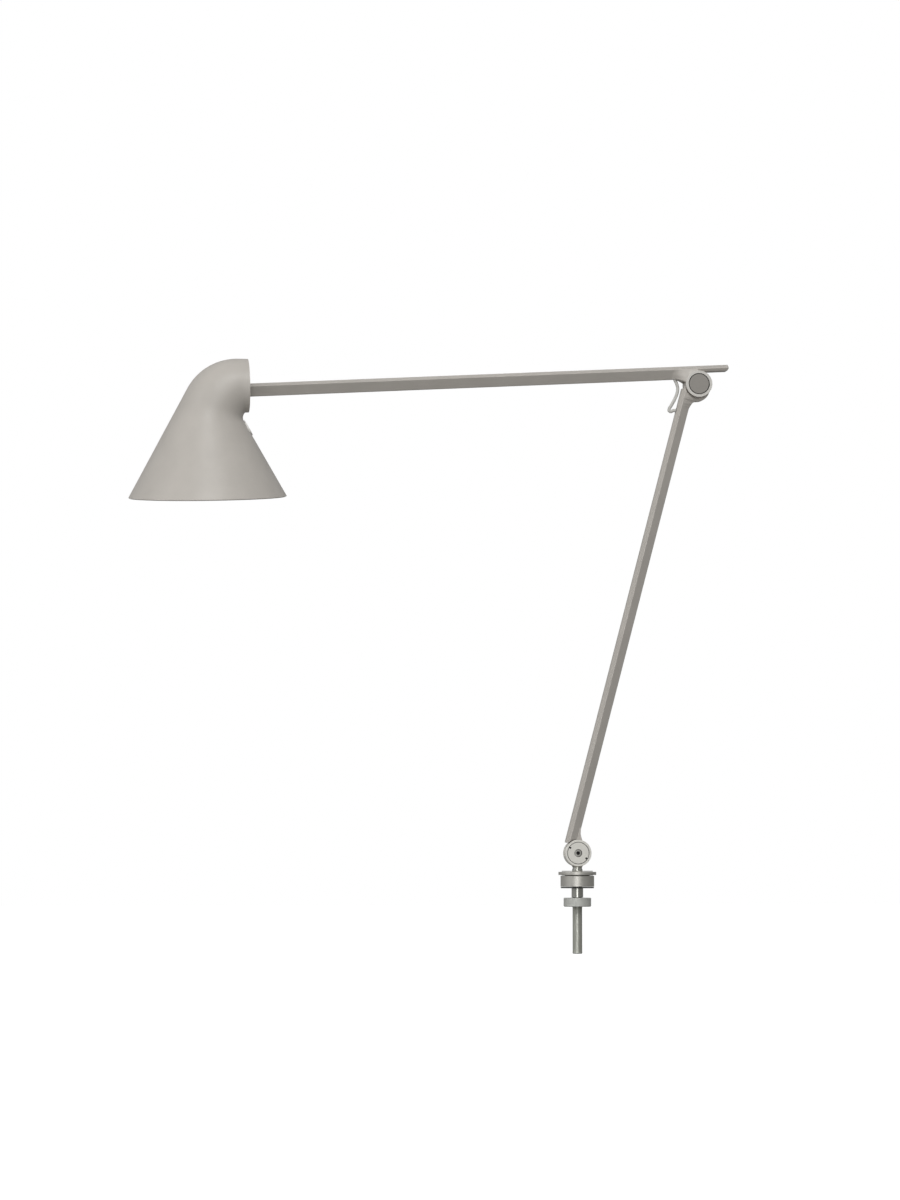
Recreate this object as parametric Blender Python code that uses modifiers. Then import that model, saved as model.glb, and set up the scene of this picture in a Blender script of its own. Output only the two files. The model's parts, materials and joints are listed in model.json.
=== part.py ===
"""Architect desk lamp on a table pin: two hinged arms, a swivelling foot and a spun shade.

Units are metres, +Z is up. The origin is the axis of the table pin at the table top.
"""
import bmesh
import bpy
from math import cos, degrees, pi, radians, sin, tan
from mathutils import Matrix, Vector

MM = 0.001
GAP = 0.3 * MM                     # air between neighbouring pieces

# ---- pose of the lamp as modelled ----
LOWER_LEAN = radians(14.64)        # lower arm leans to +X
UPPER_SLOPE = radians(2.98)        # upper arm falls towards the head
HEAD_PITCH = radians(1.5)          # rim's arm side is the higher one
HEAD_ROLL = radians(7.0)           # shade turned about the upper arm

# ---- table mount ----
PUCK_R = 16.8 * MM
PUCK_TOP = 12.4 * MM
FOOT_PAD_T = 1.2 * MM
FLANGE_R = 18.9 * MM
FLANGE_BOTTOM = 13.2 * MM
FLANGE_TOP = 16.3 * MM
COVER_R = 15.5 * MM
COVER_TOP = 17.4 * MM
POST_R = 5.2 * MM
POST_BORE_R = 3.0 * MM
TUBE_R = 5.0 * MM
TUBE_BORE_R = 3.3 * MM
TUBE_BOTTOM = -65.3 * MM
TUBE_TOP = 7.6 * MM
COLLAR_R = 5.8 * MM
COLLAR_BOTTOM = -9.2 * MM
NUT_R = 13.8 * MM
NUT_H = 9.0 * MM
NUT_BORE_R = 6.6 * MM
WASHER_T = 1.2 * MM
WASHER_R = 10.5 * MM                # sits in a recess of the nut

# ---- base joint ----
BASE_PIVOT_Z = 35.0 * MM
DRUM_R = 13.3 * MM
DRUM_HALF = 7.5 * MM
DRUM_CAP_R = 10.7 * MM
DRUM_SLOT_HALF = 4.1 * MM
DRUM_SLOT_FLOOR = -2.8 * MM         # the slot's open part, from the pivot upwards
HUB_R = 9.5 * MM
TONGUE_HALF = 3.0 * MM
PIN_R = 2.9 * MM

# ---- arms ----
ARM_PITCH = 487.9 * MM             # base pivot to elbow pivot
HEAD_REACH = 476.4 * MM            # elbow pivot to head pivot, along the upper arm
BAR_H = 12.15 * MM                 # outer face to inner edge
BAR_OUTER_HALF = 3.0 * MM
BAR_RIDGE_HALF = 9.0 * MM
BAR_RIDGE_DROP = 3.5 * MM
BAR_INNER_HALF = 1.5 * MM
BAR_WALL = 1.6 * MM
BAR_AXIS_RISE = 13.125 * MM        # elbow pivot line to the head's swivel axis
LOWER_OFFSET = 14.75 * MM          # pivot line to the lower bar's outer face
UPPER_OFFSET = 18.9 * MM           # pivot line to the upper bar's outer face
TAIL_LENGTH = 31.6 * MM
TAIL_UNDERSIDE = 12.4 * MM
FORK_ROOT = 36.0 * MM              # elbow pivot to the seam between fork and bar
HEAD_END = 458.0 * MM              # elbow pivot to the upper bar's far end

# ---- elbow ----
EYE_R = 13.0 * MM
EYE_DROP = 4.5 * MM
EYE_HALF = 4.4 * MM
CHEEK_INNER = 5.2 * MM
CHEEK_OUTER = 11.0 * MM
RING_R = 13.1 * MM
ELBOW_CAP_R = 10.1 * MM
CABLE_R = 1.65 * MM
CABLE_EXIT_X = -24.0 * MM
CABLE_ENTRY_DROP = 31.4 * MM

# ---- shade ----
RIM_R = 79.0 * MM
RIM_DROP = 110.2 * MM              # neck axis down to the rim
CONE_ANGLE = radians(29.1)
CROWN_RISE = 27.1 * MM
CROWN_R = 56.3 * MM
NECK_R = 26.7 * MM
NECK_LENGTH = 42.2 * MM
NOTCH_R = 6.9 * MM
NOTCH_Z = -31.8 * MM
NOTCH_END = 133                    # degrees round the notch, where the neck's underside starts
SHADE_WALL = 1.6 * MM
PIVOT_IN_NECK = 19.8 * MM          # cone axis to head pivot
PIVOT_BELOW_NECK_AXIS = 4.4 * MM
SWITCH_R = 8.5 * MM
SWITCH_Z = -42.2 * MM

# ---- light engine, heights in the shade's own frame ----
SINK_TOP = -33.0 * MM
SINK_BASE = -43.0 * MM
SINK_BOTTOM = -46.0 * MM
SINK_R = 26.0 * MM
SINK_GROOVES = ((12 * MM, 14.5 * MM), (16 * MM, 18.5 * MM), (20 * MM, 24 * MM))
REFLECTOR_RIM_Z = -73.0 * MM

for old in list(bpy.data.objects):
    bpy.data.objects.remove(old)

LAMP = bpy.data.collections.new("architect_desk_lamp")
CUTTERS = bpy.data.collections.new("cutters")
for collection in (LAMP, CUTTERS):
    bpy.context.scene.collection.children.link(collection)


# ---------------------------------------------------------------- materials
def linear(channel):
    """8-bit sRGB channel to a linear value."""
    value = channel / 255
    return value / 12.92 if value <= 0.04045 else ((value + 0.055) / 1.055) ** 2.4


def material(name, rgb, roughness, metallic=0.0):
    made = bpy.data.materials.new(name)
    made.use_nodes = True
    shader = made.node_tree.nodes["Principled BSDF"]
    shader.inputs["Base Color"].default_value = (*[linear(c) for c in rgb], 1)
    shader.inputs["Roughness"].default_value = roughness
    shader.inputs["Metallic"].default_value = metallic
    return made


PAINT = material("grey_paint", (188, 183, 176), 0.45)
CAP_PAINT = material("cap_paint", (140, 136, 130), 0.5)
CAST = material("bead_blasted_aluminium", (199, 198, 192), 0.4, 0.6)
STEEL = material("brushed_steel", (176, 176, 170), 0.3, 1.0)
NUT_STEEL = material("knurled_steel", (169, 170, 165), 0.5, 0.9)
THREAD = material("threaded_steel", (160, 161, 153), 0.4, 1.0)
BRASS = material("bearing_bronze", (176, 141, 87), 0.35, 1.0)
RUBBER = material("black_rubber", (38, 38, 38), 0.8)
NYLON = material("black_nylon", (48, 48, 50), 0.6)
CABLE = material("grey_cable", (190, 189, 184), 0.5)
SINK = material("anodised_aluminium", (150, 152, 154), 0.4, 0.9)
BOARD = material("white_circuit_board", (228, 230, 226), 0.5)
LED = material("led_phosphor", (238, 214, 120), 0.4)
REFLECTOR = material("white_reflector", (240, 240, 236), 0.3)
OPAL = material("opal_diffuser", (244, 243, 238), 0.35)
SWITCH = material("light_grey_plastic", (214, 212, 206), 0.4)


# ---------------------------------------------------------------- joint frames
def frame(name, parent, location, rotation):
    """Empty that carries the pieces which move about one axis."""
    empty = bpy.data.objects.new(name, None)
    empty.parent = parent
    empty.matrix_local = Matrix.Translation(location) @ rotation
    LAMP.objects.link(empty)
    return empty


def about_y(angle):
    return Matrix.Rotation(angle, 4, "Y")


BASE_PIVOT = Vector((0, 0, BASE_PIVOT_Z))
ELBOW_PIVOT = BASE_PIVOT + ARM_PITCH * Vector((sin(LOWER_LEAN), 0, cos(LOWER_LEAN)))
WORLD = Matrix.Identity(4)
ROLL_ABOUT_BAR = Matrix.Rotation(HEAD_ROLL, 4, "X")

TABLE = frame("table_frame", None, (0, 0, 0), WORLD)
SWIVEL = frame("swivel_axis", None, (0, 0, 0), WORLD)
LOWER = frame("base_tilt_axis", None, BASE_PIVOT, about_y(LOWER_LEAN))
UPPER = frame("elbow_axis", None, ELBOW_PIVOT, about_y(-UPPER_SLOPE))
KNUCKLE = frame("head_swivel_axis", UPPER, (-HEAD_REACH, 0, BAR_AXIS_RISE), ROLL_ABOUT_BAR)
HEAD = frame("head_tilt_axis", KNUCKLE, (0, 0, 0), about_y(UPPER_SLOPE - HEAD_PITCH))
HEAD_PIVOT = Vector((PIVOT_IN_NECK, 0, -PIVOT_BELOW_NECK_AXIS))


# ---------------------------------------------------------------- modelling tools
def place(name, mesh, paint, parent, location, rotation=WORLD, cutter=False):
    piece = bpy.data.objects.new(name, mesh)
    piece.parent = parent
    piece.matrix_local = Matrix.Translation(location) @ rotation
    (CUTTERS if cutter else LAMP).objects.link(piece)
    if cutter:
        piece.hide_render = True
        piece.display_type = "WIRE"
    if paint:
        mesh.materials.append(paint)
    return piece


FACING_FRONT = Matrix.Rotation(pi / 2, 4, "X")      # turned axis +Z becomes -Y
FACING_BACK = Matrix.Rotation(-pi / 2, 4, "X")      # turned axis +Z becomes +Y
ALONG_MINUS_X = about_y(-pi / 2)                    # turned axis +Z becomes -X
ALONG_PLUS_X = about_y(pi / 2)


def turned(name, profile, paint, parent, location=(0, 0, 0), rotation=WORLD, steps=32,
           cutter=False):
    """Lathe a profile of (radius, height) points, given down the outer side."""
    mesh = bpy.data.meshes.new(name)
    points = [(radius, 0, height) for radius, height in profile]
    closed = min(radius for radius, _ in profile) > 0
    edges = [(i, i + 1) for i in range(len(points) - 1)]
    if closed:
        edges.append((len(points) - 1, 0))
    mesh.from_pydata(points, edges, [])
    piece = place(name, mesh, paint, parent, location, rotation, cutter)
    screw = piece.modifiers.new("lathe", "SCREW")
    screw.steps = screw.render_steps = steps
    screw.use_merge_vertices = True
    screw.merge_threshold = 1e-6
    screw.use_smooth_shade = False
    return piece


def disc(radius, top, bottom):
    return [(0, top), (radius, top), (radius, bottom), (0, bottom)]


def ring(outer, inner, top, bottom):
    return [(outer, top), (outer, bottom), (inner, bottom), (inner, top)]


def mesh_of(curve_object):
    """Mesh of a curve object, with its caps welded on; the curve goes."""
    depsgraph = bpy.context.evaluated_depsgraph_get()
    mesh = bpy.data.meshes.new_from_object(curve_object.evaluated_get(depsgraph))
    work = bmesh.new()
    work.from_mesh(mesh)
    bmesh.ops.remove_doubles(work, verts=work.verts, dist=1e-6)
    bmesh.ops.recalc_face_normals(work, faces=work.faces)
    work.to_mesh(mesh)
    work.free()
    bpy.data.objects.remove(curve_object)
    return mesh


def plate(name, loops, thickness, paint, parent, location=(0, 0, 0), rotation=WORLD,
          cutter=False):
    """Flat outline, holes allowed, extruded by half its thickness to both sides."""
    curve = bpy.data.curves.new(name, "CURVE")
    curve.dimensions = "2D"
    curve.fill_mode = "BOTH"
    curve.extrude = thickness / 2
    for loop in loops:
        spline = curve.splines.new("POLY")
        spline.points.add(len(loop) - 1)
        for point, (x, y) in zip(spline.points, loop):
            point.co = (x, y, 0, 1)
        spline.use_cyclic_u = True
    guide = bpy.data.objects.new(name + "_outline", curve)
    LAMP.objects.link(guide)
    mesh = mesh_of(guide)
    mesh.materials.clear()
    return place(name, mesh, paint, parent, location, rotation, cutter)


def tube(name, points, radius, paint, parent, sides=2):
    """Round wire through a few points, smoothed by a Catmull-Rom curve."""
    dense = smooth_path(points)
    curve = bpy.data.curves.new(name, "CURVE")
    curve.dimensions = "3D"
    curve.bevel_depth = radius
    curve.bevel_resolution = sides
    curve.use_fill_caps = True
    spline = curve.splines.new("POLY")
    spline.points.add(len(dense) - 1)
    for point, place_at in zip(spline.points, dense):
        point.co = (*place_at, 1)
    guide = bpy.data.objects.new(name + "_route", curve)
    LAMP.objects.link(guide)
    mesh = mesh_of(guide)
    mesh.materials.clear()
    return place(name, mesh, paint, parent, (0, 0, 0))


def smooth_path(points, per_span=3):
    """Points on a Catmull-Rom curve through the given ones."""
    if len(points) == 2:
        return [Vector(p) for p in points]
    ends = [2 * Vector(points[0]) - Vector(points[1])]
    ends += [Vector(p) for p in points]
    ends.append(2 * Vector(points[-1]) - Vector(points[-2]))
    path = []
    for i in range(1, len(ends) - 2):
        a, b, c, d = ends[i - 1:i + 3]
        for k in range(per_span):
            t = k / per_span
            path.append(0.5 * (2 * b + (c - a) * t + (2 * a - 5 * b + 4 * c - d) * t ** 2
                               + (3 * b - a - 3 * c + d) * t ** 3))
    path.append(Vector(points[-1]))
    return path


def arc(cx, cy, radius, start, end, steps):
    """Points on a circle, angles in degrees."""
    angles = [radians(start + (end - start) * i / steps) for i in range(steps + 1)]
    return [(cx + radius * cos(a), cy + radius * sin(a)) for a in angles]


def hex_nut(name, corner_r, bore_r, top, bottom, parent, location=(0, 0, 0), rotation=WORLD):
    """Six-sided nut with a round bore, lying along the turned axis."""
    loops = [arc(0, 0, corner_r, 0, 300, 5), arc(0, 0, bore_r, 0, 345, 23)]
    middle = Vector(location) + rotation @ Vector((0, 0, (top + bottom) / 2))
    return plate(name, loops, abs(top - bottom), STEEL, parent, middle, rotation)


def combine(piece, other, operation):
    boolean = piece.modifiers.new(operation.lower(), "BOOLEAN")
    boolean.operation = operation
    boolean.solver = "EXACT"
    boolean.object = other


def cut(piece, *others):
    for other in others:
        combine(piece, other, "DIFFERENCE")


def join(piece, *others):
    for other in others:
        combine(piece, other, "UNION")


def cross_bore(name, radius, half, parent, x=0.0, z=0.0, steps=32):
    """Cutter: a cylinder along Y."""
    return turned(name, disc(radius, half, -half), None, parent, (x, 0, z), FACING_FRONT,
                  steps, cutter=True)


def block(name, size, centre, parent, rotation=WORLD):
    """Cutter: a box."""
    mesh = bpy.data.meshes.new(name)
    work = bmesh.new()
    bmesh.ops.create_cube(work, size=1.0)
    bmesh.ops.scale(work, vec=size, verts=work.verts)
    work.to_mesh(mesh)
    work.free()
    return place(name, mesh, None, parent, centre, rotation, cutter=True)


def bar_section(outer_face, side, inset=0.0):
    """Outline of the arm's bar as (across, height), moved inwards by inset.

    The outer face lies at outer_face and the bar grows from it along side (+1 or -1).
    """
    corners = [(BAR_OUTER_HALF, 0.0), (BAR_RIDGE_HALF, BAR_RIDGE_DROP), (BAR_INNER_HALF, BAR_H)]
    lines = [((0, 0), (0, 1)), (corners[0], corners[1]), (corners[1], corners[2]),
             ((0, BAR_H), (0, -1))]
    moved = []
    for index, (start, toward) in enumerate(lines):
        if index in (0, 3):
            moved.append((0.0, toward[1], start[1] * toward[1] + inset))
            continue
        along = Vector(toward) - Vector(start)
        normal = Vector((-along.y, along.x)).normalized()
        moved.append((normal.x, normal.y, normal.dot(Vector(start)) + inset))
    half = []
    for first, second in zip(moved, moved[1:]):
        (a, b, e), (c, d, f) = first, second
        determinant = a * d - b * c
        half.append(((e * d - b * f) / determinant, (a * f - e * c) / determinant))
    whole = half + [(-x, y) for x, y in reversed(half)]
    return [(x, outer_face + side * y) for x, y in whole]


# ---------------------------------------------------------------- table mount
def table_mount():
    floor = 3.9 * MM
    cavity_r = 12.6 * MM
    turned("foot_pad", ring(16.6 * MM, COLLAR_R + 0.6 * MM, FOOT_PAD_T, 0), RUBBER, TABLE)
    turned("puck_body",
           [(PUCK_R, PUCK_TOP), (PUCK_R, FOOT_PAD_T + GAP), (TUBE_R + GAP, FOOT_PAD_T + GAP),
            (TUBE_R + GAP, floor), (cavity_r, floor), (cavity_r, PUCK_TOP)],
           STEEL, TABLE, steps=36)
    lip = PUCK_TOP + GAP
    spigot_bottom = 9.8 * MM
    bush_bore = POST_R + 1.7 * MM
    turned("puck_cap",
           [(FLANGE_R, FLANGE_TOP), (FLANGE_R, FLANGE_BOTTOM), (15.6 * MM, FLANGE_BOTTOM),
            (15.6 * MM, lip), (cavity_r - GAP, lip), (cavity_r - GAP, spigot_bottom),
            (bush_bore, spigot_bottom), (bush_bore, FLANGE_TOP)],
           STEEL, TABLE, steps=36)
    turned("swivel_bush", ring(bush_bore - GAP, POST_R + GAP, FLANGE_TOP, spigot_bottom),
           BRASS, TABLE, steps=24)
    turned("threaded_tube", ring(TUBE_R, TUBE_BORE_R, TUBE_TOP, TUBE_BOTTOM), THREAD, TABLE,
           steps=32)
    turned("table_collar",
           ring(COLLAR_R, TUBE_R + GAP, FOOT_PAD_T, COLLAR_BOTTOM), STEEL, TABLE, steps=32)
    hex_nut("tube_lock_nut", 8 * MM, TUBE_R + GAP, 7.2 * MM, floor + GAP, TABLE)
    turned("stop_pin", disc(1.2 * MM, spigot_bottom - GAP, 5.2 * MM), STEEL, TABLE,
           (-10.4 * MM, 0, 0), steps=12)
    washer_top = COLLAR_BOTTOM - GAP
    turned("clamp_washer", ring(WASHER_R, COLLAR_R, washer_top, washer_top - WASHER_T), STEEL,
           TABLE)
    nut_top = washer_top
    nut_bottom = nut_top - NUT_H
    recess_r = WASHER_R + GAP
    recess_floor = nut_top - WASHER_T - GAP
    edge = 0.9 * MM
    turned("clamp_nut",
           [(NUT_R - edge, nut_top), (NUT_R, nut_top - edge), (NUT_R, nut_bottom + edge),
            (NUT_R - edge, nut_bottom), (NUT_BORE_R, nut_bottom), (NUT_BORE_R, recess_floor),
            (recess_r, recess_floor), (recess_r, nut_top)],
           NUT_STEEL, TABLE, steps=36)


# ---------------------------------------------------------------- swivel
def swivel():
    post_bottom = 8.0 * MM
    groove_r = 4.4 * MM
    groove = (9.45 * MM, 8.45 * MM)
    drum = turned("swivel_fork", disc(DRUM_R, DRUM_HALF, -DRUM_HALF), CAST, SWIVEL,
                  BASE_PIVOT, FACING_FRONT, steps=36)
    post = turned("post_blank",
                  [(0, 25 * MM), (6.2 * MM, 25 * MM), (POST_R, 21 * MM), (POST_R, groove[0]),
                   (groove_r, groove[0]), (groove_r, groove[1]), (POST_R, groove[1]),
                   (POST_R, post_bottom), (0, post_bottom)],
                  None, SWIVEL, steps=24, cutter=True)
    hub_room = HUB_R + 0.4 * MM
    slot_height = 20 * MM
    slot_top = block("slot_top", (40 * MM, 2 * DRUM_SLOT_HALF, slot_height),
                     BASE_PIVOT + Vector((0, 0, DRUM_SLOT_FLOOR + slot_height / 2)), SWIVEL)
    slot_hub = cross_bore("slot_hub", hub_room, DRUM_SLOT_HALF, SWIVEL, z=BASE_PIVOT_Z)
    recess = 1.7 * MM
    cap_room = DRUM_CAP_R + GAP
    recesses = []
    for side, rotation in (("front", FACING_FRONT), ("rear", FACING_BACK)):
        recesses.append(turned(side + "_recess",
                               disc(cap_room, DRUM_HALF + 1 * MM, DRUM_HALF - recess), None,
                               SWIVEL, BASE_PIVOT, rotation, 36, cutter=True))
    pin_hole = cross_bore("base_pin_hole", PIN_R + GAP, 20 * MM, SWIVEL, z=BASE_PIVOT_Z)
    lead_hole = turned("post_bore", disc(POST_BORE_R, 30 * MM, 0), None, SWIVEL, steps=24,
                       cutter=True)
    join(drum, post)
    cut(drum, slot_top, slot_hub, *recesses, pin_hole, lead_hole)

    turned("swivel_cover", ring(COVER_R, POST_R + GAP, COVER_TOP, FLANGE_TOP + GAP), STEEL,
           SWIVEL, steps=48)
    tab = [(11.6 * MM, 1.2 * MM), (11.6 * MM, -1.2 * MM)]
    washer = arc(0, 0, 7.6 * MM, 9, 351, 24) + [tab[1], tab[0]]
    hole = arc(0, 0, groove_r + GAP, 0, 345, 23)
    plate("stop_washer", [washer, hole], 0.4 * MM, STEEL, SWIVEL,
          (0, 0, (groove[0] + groove[1]) / 2))

    cap_outer = DRUM_HALF - 0.1 * MM
    cap_inner = DRUM_HALF - recess + GAP
    key_offset = DRUM_CAP_R - 1.1 * MM
    for side, rotation, bore, key_angle in (("front", FACING_FRONT, 3.85 * MM, 147),
                                            ("rear", FACING_BACK, 5.4 * MM, 33)):
        cap = turned("drum_cap_" + side, ring(DRUM_CAP_R, bore, cap_outer, cap_inner), CAST,
                     SWIVEL, BASE_PIVOT, rotation, steps=36)
        for end in (0, 180):
            angle = radians(key_angle + end)
            hole_at = BASE_PIVOT + Vector((key_offset * cos(angle), 0, key_offset * sin(angle)))
            key = turned(f"key_hole_{side}_{end}", disc(0.85 * MM, 12 * MM, 1 * MM), None,
                         SWIVEL, hole_at, rotation, 12, cutter=True)
            cut(cap, key)
    head_top = DRUM_HALF - 0.6 * MM
    bolt = turned("base_bolt",
                  [(0, head_top), (3.5 * MM, head_top), (3.5 * MM, cap_inner),
                   (PIN_R, cap_inner), (PIN_R, -DRUM_HALF + 0.5 * MM),
                   (0, -DRUM_HALF + 0.5 * MM)], STEEL, SWIVEL, BASE_PIVOT, FACING_FRONT, 24)
    socket = turned("base_bolt_socket", disc(2.0 * MM, 12 * MM, head_top - 2.2 * MM), None,
                    SWIVEL, BASE_PIVOT, FACING_FRONT, 6, cutter=True)
    cut(bolt, socket)
    hex_nut("base_nut", 5.0 * MM, PIN_R + GAP, DRUM_HALF - 0.4 * MM, cap_inner, SWIVEL,
            BASE_PIVOT, FACING_BACK)
    for side, rotation in (("front", FACING_FRONT), ("rear", FACING_BACK)):
        turned("base_friction_washer_" + side,
               ring(8.6 * MM, PIN_R + GAP, DRUM_SLOT_HALF - GAP, TONGUE_HALF + GAP), NYLON,
               SWIVEL, BASE_PIVOT, rotation, 24)


# ---------------------------------------------------------------- lower arm
def lengthwise_bar(name, outer_face, side, start, end, paint, parent, vertical, inset=0.0,
                   hollow=True, cutter=False):
    """Length of the arm's bar, from start to end along the arm."""
    loops = [bar_section(outer_face, side, inset)]
    if hollow:
        loops.append(bar_section(outer_face, side, BAR_WALL))
    if vertical:
        # across -> world Y, height -> X, extrusion -> Z
        rotation = Matrix(((0, 1, 0, 0), (1, 0, 0, 0), (0, 0, -1, 0), (0, 0, 0, 1)))
        location = (0, 0, (start + end) / 2)
    else:
        # across -> world Y, height -> Z, extrusion -> X
        rotation = Matrix(((0, 0, 1, 0), (1, 0, 0, 0), (0, 1, 0, 0), (0, 0, 0, 1)))
        location = ((start + end) / 2, 0, 0)
    return plate(name, loops, abs(end - start), paint, parent, location, rotation, cutter)


UPRIGHT = Matrix(((1, 0, 0, 0), (0, 0, -1, 0), (0, 1, 0, 0), (0, 0, 0, 1)))   # outline in XZ


def tongue_outline(grow=0.0):
    """Foot casting of the lower arm: hub, waist and the part inside the bar."""
    left = -LOWER_OFFSET + BAR_WALL + GAP - grow
    waist = [(-5.1 * MM + grow, 44 * MM), (-5.1 * MM + grow, 27 * MM),
             (-2.9 * MM + grow, 24.5 * MM), (-1.9 * MM + grow, 19.3 * MM),
             (0.6 * MM + grow, 14.6 * MM), (4.2 * MM + grow, 10.6 * MM)]
    hub = arc(0, 0, HUB_R + grow, 45, -200, 23)
    return waist + hub + [(left, 11 * MM), (left, 44 * MM)]


def eye_outline(grow=0.0):
    """Head casting of the lower arm, around the elbow pivot at the outline's origin."""
    left = -LOWER_OFFSET + BAR_WALL + GAP - grow
    over_top = arc(0, 0, EYE_R + grow, 175, 0, 18)
    under = arc(0, -EYE_DROP, EYE_R + grow, 0, -78, 8)
    fillet = [(0.6 * MM + grow, -18 * MM), (-1.2 * MM + grow, -20.2 * MM),
              (-2.2 * MM + grow, -23.4 * MM), (-2.9 * MM + grow, -28 * MM)]
    return over_top + under + fillet + [(-5.1 * MM + grow, -29 * MM), (left, -29 * MM)]


def lower_arm():
    shoulder = 8.0 * MM
    bar = lengthwise_bar("lower_arm_bar", -LOWER_OFFSET, 1, 7.5 * MM, ARM_PITCH - shoulder,
                         PAINT, LOWER, vertical=True)
    drum_room = cross_bore("drum_room", DRUM_R + 1.2 * MM, 20 * MM, LOWER, steps=48)
    ring_room = cross_bore("ring_room", RING_R + 1.0 * MM, 20 * MM, LOWER, z=ARM_PITCH,
                           steps=48)
    foot_slot = plate("foot_slot", [tongue_outline(GAP)], 2 * (TONGUE_HALF + GAP), None,
                      LOWER, rotation=UPRIGHT, cutter=True)
    eye_slot = plate("eye_slot", [eye_outline(GAP)], 2 * (EYE_HALF + GAP), None, LOWER,
                     (0, 0, ARM_PITCH), UPRIGHT, cutter=True)
    cable_z = ARM_PITCH - CABLE_ENTRY_DROP
    cable_hole = turned("cable_hole", disc(2.9 * MM, 20 * MM, 9 * MM), None, LOWER,
                        (0, 0, cable_z), ALONG_MINUS_X, 24, cutter=True)
    cut(bar, drum_room, ring_room, foot_slot, eye_slot, cable_hole)

    loose = BAR_WALL + GAP
    foot = plate("lower_arm_foot", [tongue_outline()], 2 * TONGUE_HALF, PAINT, LOWER,
                 rotation=UPRIGHT)
    foot_plug = lengthwise_bar("foot_plug", -LOWER_OFFSET, 1, 26 * MM, 44.2 * MM, None, LOWER,
                               True, loose, hollow=False, cutter=True)
    foot_bore = cross_bore("foot_bore", PIN_R + 1.6 * MM, 20 * MM, LOWER)
    join(foot, foot_plug)
    cut(foot, foot_bore)
    turned("foot_bush", ring(PIN_R + 1.3 * MM, PIN_R + GAP, TONGUE_HALF, -TONGUE_HALF), BRASS,
           LOWER, rotation=FACING_FRONT, steps=24)

    eye = plate("lower_arm_eye", [eye_outline()], 2 * EYE_HALF, PAINT, LOWER,
                (0, 0, ARM_PITCH), UPRIGHT)
    eye_plug = lengthwise_bar("eye_plug", -LOWER_OFFSET, 1, ARM_PITCH - 28.2 * MM,
                              ARM_PITCH - 15.5 * MM, None, LOWER, True, loose, hollow=False,
                              cutter=True)
    eye_bore = cross_bore("eye_bore", PIN_R + 1.6 * MM, 20 * MM, LOWER, z=ARM_PITCH)
    join(eye, eye_plug)
    cut(eye, eye_bore)
    turned("eye_bush", ring(PIN_R + 1.3 * MM, PIN_R + GAP, EYE_HALF, -EYE_HALF), BRASS, LOWER,
           (0, 0, ARM_PITCH), FACING_FRONT, 24)
    turned("cable_grommet",
           ring(2.6 * MM, CABLE_R + GAP, LOWER_OFFSET + 0.2 * MM, LOWER_OFFSET - BAR_WALL),
           RUBBER, LOWER, (0, 0, cable_z), ALONG_MINUS_X, 20)
    lead_x = -LOWER_OFFSET + BAR_H / 2
    tube("lower_lead", [(lead_x, 0, cable_z - 3 * MM), (lead_x, 0, 48 * MM)], CABLE_R, CABLE,
         LOWER)


# ---------------------------------------------------------------- upper arm
def cheek(side):
    """Closed cheek of the elbow fork: the pivot boss with a web rising to the bar."""
    root = CHEEK_INNER - 0.7 * MM
    boss = turned("boss_" + side, disc(RING_R, CHEEK_OUTER, root), None, UPPER,
                  rotation=FACING_FRONT if side == "front" else FACING_BACK, steps=48,
                  cutter=True)
    sign = -1 if side == "front" else 1
    web_root = -25 * MM
    lead_room = 3.4 * MM
    low = UPPER_OFFSET - BAR_H + 2.7 * MM
    corners = []
    for x, z in arc(0, 0, RING_R - 0.05 * MM, 176, 92, 8):
        corners.append((x, sign * (root + 0.2 * MM), z))
        corners.append((x, sign * (CHEEK_OUTER - 0.05 * MM), z))
    sunk = 0.3 * MM
    ridge = UPPER_OFFSET - BAR_RIDGE_DROP
    for y, z in ((lead_room, low), (BAR_RIDGE_HALF - sunk, ridge - sunk / 2),
                 (lead_room, ridge - sunk / 2)):
        corners.append((web_root, sign * y, z))
    mesh = bpy.data.meshes.new("web_" + side)
    work = bmesh.new()
    for corner in corners:
        work.verts.new(corner)
    hull = bmesh.ops.convex_hull(work, input=work.verts)
    spare = [v for v in hull["geom_interior"] if isinstance(v, bmesh.types.BMVert)]
    bmesh.ops.delete(work, geom=spare, context="VERTS")
    work.to_mesh(mesh)
    work.free()
    return boss, place("web_" + side, mesh, None, UPPER, (0, 0, 0), cutter=True)


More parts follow.
